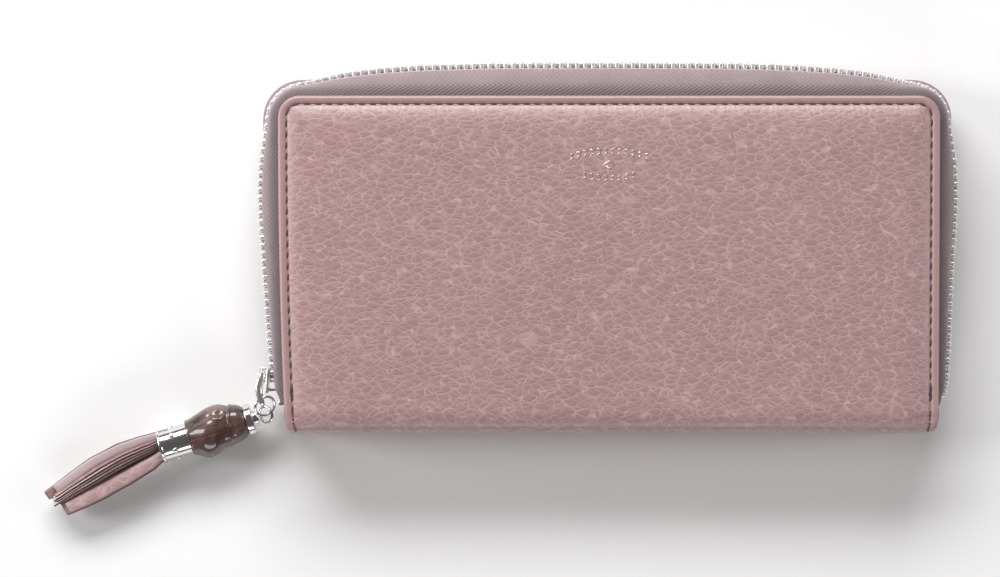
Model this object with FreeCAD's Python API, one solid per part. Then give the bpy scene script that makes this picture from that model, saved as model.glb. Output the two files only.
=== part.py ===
import FreeCAD, Part
import math
import os

os.makedirs("parts", exist_ok=True)

V = FreeCAD.Vector
Z_AXIS = V(0, 0, 1)

# ---------------------------------------------------------------- driving dimensions (mm)
half_width = 90.5            # cover, X
half_height = 46.0           # cover, Y: zip side at +Y, spine at -Y
thickness = 25.0             # closed wallet, Z
mid_z = thickness / 2
corner_top = 6.0
corner_bottom = 3.0

leather_t = 1.2
border_drop = 0.9            # the stitched border lies lower than the padded middle
border_width = 3.4
stitch_inset = 2.3
stitch_pitch = 2.8
foam_t = 0.9
board_t = 0.7
lining_t = 0.5
fold_start = -40.0           # where the cover leather starts to turn down to the spine
fold_depth = 4.5
gap = 0.3                    # room between soft pieces of different bodies

tape_t = 0.6
zip_low = -37.5              # lower end of the zip on both sides
slider_y = -30.5             # the closed slider, near the lower end of the left run
tooth_pitch = 2.2
tooth_length = 0.8
tooth_depth = 2.0

slot_t = 0.5
slot_rows = 4
slot_step = 11.0
slot_top = 34.0

pocket_low_z = 8.0
pocket_wall = 0.8
pocket_half_x = 85.0
pocket_low_y = -41.0
pocket_top_y = 40.0

bead_r = 6.9
ferrule_r = 4.35
tassel_z = 6.95
tassel_turn = 197.0          # direction of the charm's axis, degrees from +X
charm_origin = V(-95.6, -42.0, tassel_z)


# ---------------------------------------------------------------- helpers
def save(shape, node):
    if not shape.isValid():
        print("not valid:", node)
    shape.exportStep("parts/" + node + ".step")
    print(node, len(shape.Solids), "solids", [round(v, 1) for v in (
        shape.BoundBox.XMin, shape.BoundBox.XMax, shape.BoundBox.YMin,
        shape.BoundBox.YMax, shape.BoundBox.ZMin, shape.BoundBox.ZMax)])


def flipped(shape):
    """The same piece on the other cover: mirrored in the wallet's middle plane."""
    return shape.mirror(V(0, 0, mid_z), Z_AXIS)


def other_side(shape):
    """The same piece at the other end, mirrored left to right."""
    return shape.mirror(V(0, 0, 0), V(1, 0, 0))


def box(x0, x1, y0, y1, z0, z1):
    return Part.makeBox(x1 - x0, y1 - y0, z1 - z0, V(x0, y0, z0))


def rounded_face(hx, y0, y1, r0, r1, z):
    """Rectangle with lower corner radius r0 and upper corner radius r1."""
    k = math.sqrt(0.5)
    edges = []

    def arc(cx, cy, r, sx, sy, start, end):
        middle = V(cx + sx * r * k, cy + sy * r * k, z)
        edges.append(Part.Arc(start, middle, end).toShape())

    edges.append(Part.makeLine(V(-hx + r0, y0, z), V(hx - r0, y0, z)))
    arc(hx - r0, y0 + r0, r0, 1, -1, V(hx - r0, y0, z), V(hx, y0 + r0, z))
    edges.append(Part.makeLine(V(hx, y0 + r0, z), V(hx, y1 - r1, z)))
    arc(hx - r1, y1 - r1, r1, 1, 1, V(hx, y1 - r1, z), V(hx - r1, y1, z))
    edges.append(Part.makeLine(V(hx - r1, y1, z), V(-hx + r1, y1, z)))
    arc(-hx + r1, y1 - r1, r1, -1, 1, V(-hx + r1, y1, z), V(-hx, y1 - r1, z))
    edges.append(Part.makeLine(V(-hx, y1 - r1, z), V(-hx, y0 + r0, z)))
    arc(-hx + r0, y0 + r0, r0, -1, -1, V(-hx, y0 + r0, z), V(-hx + r0, y0, z))
    return Part.Face(Part.Wire(edges))


def plate(inset, z0, z1, low=-half_height, r0=0.5):
    face = rounded_face(half_width - inset, low, half_height - inset,
                        r0, max(corner_top - inset, 1.0), z0)
    return face.extrude(V(0, 0, z1 - z0))


def strip_of_points(points, y0, y1):
    """Closed XZ outline, extruded along Y."""
    corners = [V(x, y0, z) for x, z in points]
    wire = Part.makePolygon(corners + corners[:1])
    return Part.Face(wire).extrude(V(0, y1 - y0, 0))


def lerp_table(table, t):
    if t <= table[0][0]:
        return table[0][1]
    for (a, u), (b, v) in zip(table, table[1:]):
        if t <= b:
            return u + (v - u) * (t - a) / (b - a)
    return table[-1][1]


# how far the teeth stand out from the cover's edge, along the sides and along the top
# (straight where the slider runs)
side_bulge = [(-37.5, 0.9), (-34.0, 1.6), (12.0, 4.9), (20.0, 5.2), (29.0, 4.9), (36.0, 4.3), (40.0, 4.1)]
top_bulge = [(0.0, 8.7), (30.0, 8.6), (50.0, 8.1), (62.0, 7.3), (72.0, 6.2), (80.0, 4.9), (84.5, 4.1)]


def zip_path():
    """Points of the cover's edge from lower left over the top to lower right, each with its normal and bulge."""
    r = corner_top
    points = []
    steps = 24
    for i in range(steps + 1):
        y = zip_low + (half_height - r - zip_low) * i / steps
        points.append((-half_width, y, -1.0, 0.0, lerp_table(side_bulge, y)))
    for i in range(1, 10):
        a = math.radians(180 - 9 * i)
        n = (math.cos(a), math.sin(a))
        points.append((-half_width + r + r * n[0], half_height - r + r * n[1], n[0], n[1], 4.1))
    steps = 44
    for i in range(steps + 1):
        x = -(half_width - r) + 2 * (half_width - r) * i / steps
        points.append((x, half_height, 0.0, 1.0, lerp_table(top_bulge, abs(x))))
    mirrored = [(-x, y, -nx, ny, b) for x, y, nx, ny, b in reversed(points[:34])]
    return points + mirrored


path = zip_path()


def teeth_places():
    """Equal steps along the line of the teeth: (x, y, angle of the outward normal)."""
    line = [(x + nx * b, y + ny * b, math.atan2(ny, nx)) for x, y, nx, ny, b in path]
    places = []
    walked = 0.0
    wanted = 0.6
    for (x0, y0, a0), (x1, y1, a1) in zip(line, line[1:]):
        length = math.hypot(x1 - x0, y1 - y0)
        while wanted <= walked + length:
            t = (wanted - walked) / length
            turn = (a1 - a0 + math.pi) % (2 * math.pi) - math.pi
            places.append((x0 + (x1 - x0) * t, y0 + (y1 - y0) * t, a0 + turn * t))
            wanted += tooth_pitch / 2
        walked += length
    return [p for p in places if p[0] > 0 or p[1] > slider_y - 2.4]


# ---------------------------------------------------------------- covers
def fold(x0, x1, top):
    """Leather turning from the cover's face down towards the spine, as a YZ section run along X."""
    low = thickness - fold_depth
    outer = []
    inner = []
    count = 7
    for i in range(count):
        a = math.pi / 2 * i / (count - 1)
        ry, rz = fold_start + half_height, top - low
        outer.append(V(x0, fold_start - ry * math.sin(a), low + rz * math.cos(a)))
        ry, rz = ry - leather_t, rz - leather_t
        inner.append(V(x0, fold_start - ry * math.sin(a), low + rz * math.cos(a)))
    curves = []
    for points in (outer, inner):
        spline = Part.BSplineCurve()
        spline.interpolate(points)
        curves.append(spline.toShape())
    ends = [Part.makeLine(outer[0], inner[0]), Part.makeLine(outer[-1], inner[-1])]
    face = Part.Face(Part.Wire(Part.__sortEdges__(curves + ends)))
    return face.extrude(V(x1 - x0, 0, 0))


def cover_leather():
    top = thickness
    border_top = top - border_drop
    under = border_top - leather_t
    body = plate(0, under, border_top, low=fold_start)
    pad_face = rounded_face(half_width - border_width, fold_start, half_height - border_width,
                            0.5, corner_top - 2.5, border_top)
    pad = pad_face.extrude(V(0, 0, border_drop))
    rims = [e for e in pad.Edges if e.BoundBox.ZMin > top - 0.01 and e.BoundBox.YMax > fold_start + 0.6]
    pad = pad.makeFillet(border_drop * 0.85, rims)
    body = body.fuse(pad)
    body = body.fuse(fold(-half_width + border_width, half_width - border_width, top))
    body = body.fuse(fold(-half_width, -half_width + border_width, border_top))
    body = body.fuse(fold(half_width - border_width, half_width, border_top))
    hollow = plate(border_width + 1.8, under - 1, top - leather_t, low=fold_start + 1)
    body = body.cut(hollow)
    outline = rounded_face(half_width, -half_height - 1, half_height, corner_bottom, corner_top, 15)
    body = body.common(outline.extrude(V(0, 0, 12)))
    return body.removeSplitter()


front_leather = cover_leather()
save(front_leather, "front_cover_leather")
save(flipped(front_leather), "back_cover_leather")

under_z = thickness - border_drop - leather_t            # underside of the border leather
foam = plate(border_width + 2.0, under_z + 0.02, thickness - leather_t - 0.02, low=fold_start + 1.2)
save(foam, "front_foam")
save(flipped(foam), "back_foam")

board = plate(4.7, under_z - board_t, under_z, low=fold_start)
save(board, "front_board")
save(flipped(board), "back_board")

lining_z = under_z - board_t - lining_t
lining = plate(1.2, lining_z, lining_z + lining_t, low=-42.0)
save(lining, "front_lining")
save(flipped(lining), "back_lining")

spine_low = fold_depth + gap / 2
spine = box(-half_width, half_width, -half_height, -half_height + leather_t,
            spine_low - gap / 2, thickness - fold_depth - gap)
save(spine, "spine_leather")

spine_lining = box(-half_width + 1.5, half_width - 1.5, -half_height + leather_t,
                   -half_height + leather_t + 0.5, spine_low + 1, thickness - fold_depth - 1.2)
save(spine_lining, "spine_lining")


def stitches():
    """Slanted saddle stitches along the border of the cover."""
    inset = stitch_inset
    hx = half_width - inset
    hy = half_height - inset
    r = corner_top - inset
    low = fold_start + 0.8
    spots = []
    count = int((hy - r - low) / stitch_pitch)
    for i in range(count + 1):
        y = low + (hy - r - low) * i / count
        spots.append((-hx, y, 90.0))
        spots.append((hx, y, 90.0))
    for side in (-1, 1):
        a = math.radians(90 + 45 * -side)
        spots.append((side * (hx - r) + r * math.cos(a), hy - r + r * math.sin(a), -45.0 * side))
    count = int(2 * (hx - r) / stitch_pitch)
    for i in range(count + 1):
        spots.append((-(hx - r) + 2 * (hx - r) * i / count, hy, 0.0))
    solids = []
    z = thickness - border_drop
    for x, y, turn in spots:
        thread = Part.makeBox(1.9, 0.5, 0.3, V(-0.95, -0.25, 0))
        thread.rotate(V(0, 0, 0), Z_AXIS, turn + 9)
        thread.translate(V(x, y, z))
        solids.append(thread)
    return Part.makeCompound(solids)


thread = stitches()
save(thread, "front_stitching")
save(flipped(thread), "back_stitching")


# ---------------------------------------------------------------- main zip
def tape_section(x, y, nx, ny, b):
    middle = [(-4.0, under_z - 0.35), (0.0, under_z - 0.35), (0.45 * b + 0.25, under_z - 1.7),
              (0.82 * b, 18.2), (b, 14.6)]
    lean = [(0, 1), (0.25, 1), (0.7, 0.7), (0.95, 0.3), (1, 0)]
    outer = []
    inner = []
    for (off, z), (lo, lz) in zip(middle, lean):
        h = tape_t / 2
        outer.append((off + lo * h, z + lz * h))
        inner.append((off - lo * h, z - lz * h))
    ring = outer + inner[::-1]
    corners = [V(x + nx * off, y + ny * off, z) for off, z in ring]
    return Part.makePolygon(corners + corners[:1])


tape = Part.makeLoft([tape_section(*p) for p in path], True, True)
save(tape, "front_zip_tape")
save(flipped(tape), "back_zip_tape")


def teeth(z0, z1, first):
    solids = []
    for x, y, a in teeth_places()[first::2]:
        tooth = Part.makeBox(tooth_depth, tooth_length, z1 - z0, V(-tooth_depth / 2, -tooth_length / 2, z0))
        tooth.rotate(V(0, 0, 0), Z_AXIS, math.degrees(a))
        tooth.translate(V(x, y, 0))
        solids.append(tooth)
    return Part.makeCompound(solids)


save(teeth(11.7, 14.25, 6), "front_zip_teeth")
save(teeth(thickness - 14.25, thickness - 11.7, 7), "back_zip_teeth")

end_x = half_width + 1.2
stops = []
for side in (-1, 1):
    stop = box(end_x - 0.8, end_x + 0.4, zip_low - 1.7, zip_low - 0.1, mid_z - 2.0, mid_z + 2.0)
    stops.append(stop if side > 0 else other_side(stop))
save(Part.makeCompound(stops), "zip_end_stops")

# ---------------------------------------------------------------- slider, on the left run near its lower end
slider_x = -half_width - lerp_table(side_bulge, slider_y)
plate_gap = 2.9
plate_t = 0.8


def slider_plate():
    outline = []
    for y, w in ((-5.2, 2.8), (-4.6, 4.2), (-3.0, 4.6), (2.0, 3.4), (5.0, 2.6)):
        outline.append((y, w))
    ring = [(y, w) for y, w in outline] + [(y, -w) for y, w in reversed(outline)]
    corners = [V(0, y, w) for y, w in ring]
    return Part.Face(Part.makePolygon(corners + corners[:1])).extrude(V(plate_t, 0, 0))


outer_plate = slider_plate()
outer_plate.translate(V(slider_x - plate_gap / 2 - plate_t, slider_y, mid_z))
inner_plate = slider_plate()
inner_plate.translate(V(slider_x + plate_gap / 2, slider_y, mid_z))
wedge = box(slider_x - plate_gap / 2, slider_x + plate_gap / 2, slider_y - 4.6, slider_y - 3.2,
            mid_z - 0.7, mid_z + 0.7)
slider = outer_plate.fuse(inner_plate).fuse(wedge)
save(slider, "slider_body")

lug_x = slider_x - plate_gap / 2 - plate_t
lug = box(lug_x - 2.0, lug_x, slider_y - 3.0, slider_y + 3.0, mid_z - 0.8, mid_z + 0.8)
lug = lug.cut(box(lug_x - 1.35, lug_x + 1, slider_y - 2.1, slider_y + 2.1, mid_z - 2, mid_z + 2))
lug = lug.makeFillet(0.5, [e for e in lug.Edges if e.BoundBox.XMax < lug_x - 1.9 and e.BoundBox.ZLength > 1.2])
save(lug, "slider_lug")

# ---------------------------------------------------------------- bail: bowed loop from the lug to the rings
bail_x = lug_x - 0.7
bail_y = slider_y + 0.3
bail_half = 2.0
bail_reach = 7.9
bail_bow = [(0.0, 0.5), (0.0, -0.8), (-0.7, -2.2), (-1.15, -4.2), (-0.8, -6.8), (0.2, -9.1)]


def bail_line(side):
    points = []
    for i, (x, y) in enumerate(bail_bow):
        x_a, y_a = bail_bow[max(i - 1, 0)]
        x_b, y_b = bail_bow[min(i + 1, len(bail_bow) - 1)]
        length = math.hypot(x_b - x_a, y_b - y_a)
        nx, ny = -(y_b - y_a) / length, (x_b - x_a) / length
        points.append(V(bail_x + x + nx * 0.5 * side, bail_y + y + ny * 0.5 * side, mid_z - bail_half))
    spline = Part.BSplineCurve()
    spline.interpolate(points)
    return points, spline.toShape()


outer_points, outer_curve = bail_line(1)
inner_points, inner_curve = bail_line(-1)
ends = [Part.makeLine(outer_points[0], inner_points[0]), Part.makeLine(outer_points[-1], inner_points[-1])]
bail_wire = Part.Wire(Part.__sortEdges__([outer_curve, inner_curve] + ends))
bail = Part.Face(bail_wire).extrude(V(0, 0, 2 * bail_half))
window = box(bail_x - 3.2, bail_x + 2, bail_y - bail_reach, bail_y - 0.5, mid_z - 1.35, mid_z + 1.35)
bail = bail.cut(window)
save(bail, "pull_bail")

# ---------------------------------------------------------------- rings: bail to ring 1 to ring 2 to the charm's eye
wire_r = 0.38
turn = math.radians(tassel_turn)
along = V(math.cos(turn), math.sin(turn), 0)
eye_s = 0.55
ring_2_r = 2.3
ring_2_lean = math.radians(40)
ring_2_far = charm_origin + along * (eye_s + 0.3)
ring_2_way = along * -math.cos(ring_2_lean) + Z_AXIS * math.sin(ring_2_lean)
ring_2_normal = along * math.sin(ring_2_lean) + Z_AXIS * math.cos(ring_2_lean)
ring_2_centre = ring_2_far + ring_2_way * ring_2_r
save(Part.makeTorus(ring_2_r, wire_r, ring_2_centre, ring_2_normal), "jump_ring_2")

ring_1_top = V(bail_x - 0.5, bail_y - bail_reach + wire_r + 0.55, mid_z)
ring_1_low = ring_2_far + ring_2_way * (2 * ring_2_r - 2 * wire_r - 0.42)
span = ring_1_low - ring_1_top
ring_1_r = span.Length / 2
through = V(0.65, 0, 0) - ring_2_normal * 0.7
ring_1_normal = through.cross(span).normalize()
save(Part.makeTorus(ring_1_r, wire_r, (ring_1_top + ring_1_low) * 0.5, ring_1_normal), "jump_ring_1")
print("joint points", bail_x, bail_y, ring_1_top, ring_1_low, ring_1_r, ring_1_normal, ring_2_far)

# ---------------------------------------------------------------- charm: cap, bead, ferrule, tassel
def placed(shape):
    """From the charm's own frame (axis along +X, zip side +Y) to the row frame."""
    shape = shape.copy()
    shape.rotate(V(0, 0, 0), Z_AXIS, tassel_turn)
    shape.translate(charm_origin)
    return shape


def turned(profile):
    """Solid of revolution about the charm's axis from (along, radius) points; the outer line is a smooth curve."""
    points = [V(s, r, 0) for s, r in profile]
    spline = Part.BSplineCurve()
    spline.interpolate(points)
    first, last = points[0], points[-1]
    wire = Part.Wire([
        Part.makeLine(V(first.x, 0, 0), first),
        spline.toShape(),
        Part.makeLine(last, V(last.x, 0, 0)),
        Part.makeLine(V(last.x, 0, 0), V(first.x, 0, 0)),
    ])
    return Part.Face(wire).revolve(V(0, 0, 0), V(1, 0, 0), 360)


def drum(s0, s1, r):
    return Part.makeCylinder(r, s1 - s0, V(s0, 0, 0), V(1, 0, 0))


cap_start = 2.6
cap_end = 4.9
bead_start = cap_end
bead_end = 21.4
ferrule_end = 30.0

cap = drum(cap_start, cap_end, 4.5)
cap = cap.makeFillet(0.7, [e for e in cap.Edges if abs(e.BoundBox.XMax - cap_start) < 0.01])
cap = cap.fuse(drum(1.9, cap_start + 0.2, 2.4))
save(placed(cap), "end_cap")

eye = Part.makeTorus(1.35, 0.5, V(eye_s + 0.6, 0, 0), V(0, 1, 0))
eye = eye.cut(box(1.9, 4, -2, 2, -3, 3))
save(placed(eye), "cap_eye")

bead = turned([(bead_start, 3.9), (6.2, 4.8), (8.6, 5.5), (9.5, 5.9), (10.3, 5.65), (12.0, 6.3), (14.6, bead_r),
               (16.4, 6.7), (18.0, 6.05), (19.6, 5.4), (bead_end, 4.95)])
rod_r = 1.3
bead = bead.cut(drum(0, 30, rod_r + 0.05))
save(placed(bead), "bamboo_bead")
save(placed(drum(cap_end, 24.0, rod_r)), "core_rod")

ferrule = drum(bead_end, ferrule_end, ferrule_r)
ferrule = ferrule.fuse(drum(ferrule_end - 0.9, ferrule_end, ferrule_r + 0.3))
ferrule = ferrule.cut(drum(24.0, ferrule_end + 1, ferrule_r - 0.6))
ferrule = ferrule.cut(drum(bead_end - 1, 24.5, rod_r + 0.05))
save(placed(ferrule), "ferrule")

pins = []
pin_r = 0.75
for i in range(6):
    pin = Part.makeCylinder(pin_r, 0.45, V(26.0, 0, ferrule_r - 0.02), Z_AXIS)
    pin = pin.makeFillet(0.35, [e for e in pin.Edges if e.BoundBox.ZMin > ferrule_r + 0.4])
    pin.rotate(V(26, 0, 0), V(1, 0, 0), 30 + 60 * i)
    pins.append(pin)
save(placed(Part.makeCompound(pins)), "ferrule_pins")


def tassel_strip(layer_side, layer_z, width, lie, length):
    """One flat leather strip: side and height of its middle in the ferrule, its width, how it is turned about the
    axis (degrees) and its length. It bows sideways and settles towards the table at the free end."""
    start = 24.6
    sections = []
    count = 9
    for i in range(count):
        t = i / (count - 1)
        s = start + length * t
        free = max(0.0, (s - ferrule_end) / 31.0)
        spread = min(1.0, 5 * free)
        side = layer_side * (1 + 0.38 * spread + 0.1 * free) + 6.0 * free ** 1.35
        z = layer_z * (1 + 0.12 * spread) - 1.75 * free ** 1.5
        heading = 6.0 * 1.35 * max(free, 0.0) ** 0.35 / 31.0
        grow = 1 + 0.38 * spread
        a = math.radians(lie)
        across = V(-math.sin(heading) * math.cos(a), math.cos(heading) * math.cos(a), math.sin(a))
        up = V(math.sin(heading) * math.sin(a), -math.cos(heading) * math.sin(a), math.cos(a))
        centre = V(s, side, z)
        hw, ht = width / 2 * grow, 0.45
        corners = [centre + across * u * hw + up * v * ht for u, v in ((-1, -1), (1, -1), (1, 1), (-1, 1))]
        sections.append(Part.makePolygon(corners + corners[:1]))
    return Part.makeLoft(sections, True, True)


upper_lengths = [36.6, 39.2, 38.6, 37.6]
lower_lengths = [35.0, 35.8, 36.2, 35.4]
flat_layers = [2.0, 1.0, -1.0, -2.0]
upper = [tassel_strip(-1.45, z, 2.44, 0, upper_lengths[i]) for i, z in enumerate(flat_layers)]
lower = [tassel_strip(1.45, z, 2.44, 0, lower_lengths[i]) for i, z in enumerate(flat_layers)]
save(placed(Part.makeCompound(upper[:2])), "tassel_strips_upper_left")
save(placed(Part.makeCompound(upper[2:])), "tassel_strips_lower_left")
save(placed(Part.makeCompound(lower[:2])), "tassel_strips_upper_right")
save(placed(Part.makeCompound(lower[2:])), "tassel_strips_lower_right")
save(placed(tassel_strip(0.0, 0.0, 5.6, 0, 37.4)), "tassel_strip_middle")


# ---------------------------------------------------------------- card slots on both covers
def slots(x0, x1):
    rows = []
    for k in range(slot_rows):
        top = slot_top - slot_step * k
        z1 = lining_z - slot_t * k
        rows.append(box(x0, x1, -41.0, top, z1 - slot_t, z1))
    return Part.makeCompound(rows)


left_slots = slots(-85.2, -0.5)
right_slots = slots(0.5, 85.2)
save(left_slots, "front_card_slots_left")
save(right_slots, "front_card_slots_right")
save(flipped(left_slots), "back_card_slots_left")
save(flipped(right_slots), "back_card_slots_right")

# ---------------------------------------------------------------- gussets, folded flat
slots_z = lining_z - slot_t * slot_rows
pocket_top_z = thickness - pocket_low_z
ply = 0.3
upper_z = slots_z - 0.15
lower_z = pocket_top_z + 0.45
gusset_points = [
    (88.6, lining_z - 0.02), (88.6, upper_z - ply), (67.0 + ply, upper_z - ply), (67.0 + ply, lower_z + ply),
    (86.2, lower_z + ply), (86.2, lower_z), (67.0, lower_z), (67.0, upper_z), (88.3, upper_z),
    (88.3, lining_z - 0.02),
]
gusset = strip_of_points(gusset_points, -41.0, 38.0)
save(gusset, "front_gusset_right")
save(other_side(gusset), "front_gusset_left")
save(flipped(gusset), "back_gusset_right")
save(other_side(flipped(gusset)), "back_gusset_left")

# ---------------------------------------------------------------- coin pocket in the middle
panel = box(-pocket_half_x, pocket_half_x, pocket_low_y, pocket_top_y, pocket_top_z - pocket_wall, pocket_top_z)
save(panel, "coin_pocket_front_panel")
save(flipped(panel), "coin_pocket_back_panel")
wall_z0 = pocket_low_z + pocket_wall
wall_z1 = pocket_top_z - pocket_wall
frame = box(-pocket_half_x, pocket_half_x, pocket_low_y, pocket_top_y - 1.5, wall_z0, wall_z1)
frame = frame.cut(box(-pocket_half_x + 0.8, pocket_half_x - 0.8, pocket_low_y + 0.8, pocket_top_y + 1, 0, 25))
save(frame, "coin_pocket_edge")

coin_tape_y = 38.6
coin_half = 84.0
coin_x = -74.0               # the closed coin slider, near the left end
coin_tape = box(-coin_half, coin_half, coin_tape_y, coin_tape_y + 0.6, mid_z + 1.4, wall_z1)
save(coin_tape, "coin_zip_tape_front")
save(flipped(coin_tape), "coin_zip_tape_back")


def coin_teeth(z0, z1, shift):
    solids = []
    count = int((coin_half - 5 - coin_x) / tooth_pitch)
    for i in range(count):
        x = coin_x - 2.2 + shift + i * tooth_pitch
        solids.append(box(x, x + tooth_length, coin_tape_y - 0.5, coin_tape_y + 1.1, z0, z1))
    return Part.makeCompound(solids)


save(coin_teeth(11.8, 13.85, 0.0), "coin_zip_teeth_front")
save(coin_teeth(thickness - 13.85, thickness - 11.8, tooth_pitch / 2), "coin_zip_teeth_back")

coin_y = coin_tape_y + 0.3
coin_slider = box(coin_x - 4.5, coin_x + 4.5, coin_y + 1.3, coin_y + 2.1, mid_z - 3.0, mid_z + 3.0)
coin_slider = coin_slider.makeFillet(1.2, [e for e in coin_slider.Edges if e.BoundBox.YLength > 0.7])
coin_slider = coin_slider.fuse(box(coin_x - 4.0, coin_x + 4.0, coin_y - 2.1, coin_y - 1.3, mid_z - 2.5, mid_z + 2.5))
coin_slider = coin_slider.fuse(box(coin_x - 4.4, coin_x - 3.2, coin_y - 1.4, coin_y + 1.4, mid_z - 0.35, mid_z + 0.35))
lug_2 = box(coin_x - 2.4, coin_x + 2.4, coin_y + 2.1, coin_y + 4.1, mid_z - 0.8, mid_z + 0.8)
lug_2 = lug_2.cut(box(coin_x - 1.6, coin_x + 1.6, coin_y + 2.1, coin_y + 3.4, mid_z - 2, mid_z + 2))
coin_slider = coin_slider.fuse(lug_2)
save(coin_slider, "coin_slider")

pull_y = coin_y + 2.75
pull = box(coin_x - 0.5, coin_x + 14.0, pull_y - 0.4, pull_y + 0.4, mid_z - 2.6, mid_z + 2.6)
pull = pull.makeFillet(1.6, [e for e in pull.Edges if e.BoundBox.YLength > 0.7 and e.BoundBox.XMin > coin_x + 5])
pull = pull.cut(box(coin_x + 0.5, coin_x + 3.6, pull_y - 1, pull_y + 1, mid_z - 1.4, mid_z + 1.4))
save(pull, "coin_pull")

# ---------------------------------------------------------------- small generic ornament on the front


def foil(points):
    """Thin foil patch on the cover from (x, y) corners."""
    corners = [V(x, y, thickness) for x, y in points]
    return Part.Face(Part.makePolygon(corners + corners[:1])).extrude(V(0, 0, 0.06))


emblem = Part.makeCompound([foil([(-11, 28.4), (0, 30.0), (11, 28.4), (11, 29.6), (0, 31.2), (-11, 29.6)]),
                            foil([(-1.9, 27), (0, 25.7), (1.9, 27), (0, 28.3)]),
                            foil([(-7, 23.6), (0, 22.6), (7, 23.6), (7, 24.8), (0, 23.8), (-7, 24.8)])])
save(emblem, "front_emblem")
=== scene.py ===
import math
import random

import bmesh
import bpy
import numpy as np
from mathutils import Matrix, Vector, noise
from mathutils.bvhtree import BVHTree


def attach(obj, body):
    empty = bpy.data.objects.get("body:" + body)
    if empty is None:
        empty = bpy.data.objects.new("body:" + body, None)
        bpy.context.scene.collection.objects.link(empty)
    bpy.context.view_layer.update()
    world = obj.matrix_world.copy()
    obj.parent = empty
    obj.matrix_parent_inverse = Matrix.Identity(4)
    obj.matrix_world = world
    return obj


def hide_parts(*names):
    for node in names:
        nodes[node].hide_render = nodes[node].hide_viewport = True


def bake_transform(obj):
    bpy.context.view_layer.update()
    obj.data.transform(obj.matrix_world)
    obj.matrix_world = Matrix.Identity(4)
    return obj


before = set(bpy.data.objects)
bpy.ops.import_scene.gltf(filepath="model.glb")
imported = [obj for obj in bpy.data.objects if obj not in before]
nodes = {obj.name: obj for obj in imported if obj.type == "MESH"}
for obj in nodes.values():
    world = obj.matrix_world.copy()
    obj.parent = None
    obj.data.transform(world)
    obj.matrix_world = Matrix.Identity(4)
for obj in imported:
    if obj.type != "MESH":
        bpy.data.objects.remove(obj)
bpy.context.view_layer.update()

MM = 0.001
X_AXIS, Y_AXIS, Z_AXIS = np.eye(3)

# sizes of the wallet, in mm, as the CAD model has them
HALF_W = 90.5
HALF_H = 46.0
THICK = 25.0
MID = THICK / 2
CORNER = 6.0
FOLD_Y = -40.0       # where the covers begin to turn down to the spine
FOLD_Z = 4.5         # height of that turn
FOLD_RUN = 8.3       # length of leather in one turn
STITCH_DEPTH = 1.42  # seam below the nominal face
FAR = 99.0           # no edge near


# ---------------------------------------------------------------- shader helpers
def srgb(r, g, b):
    """Display colour 0..255 to linear RGBA."""
    out = []
    for c in (r, g, b):
        c /= 255
        out.append(c / 12.92 if c <= 0.04045 else ((c + 0.055) / 1.055) ** 2.4)
    return (*out, 1.0)


def tint(colour, factor):
    """The same colour, darker or lighter."""
    return tuple(min(1, c * factor) for c in colour[:3]) + (1,)


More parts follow.
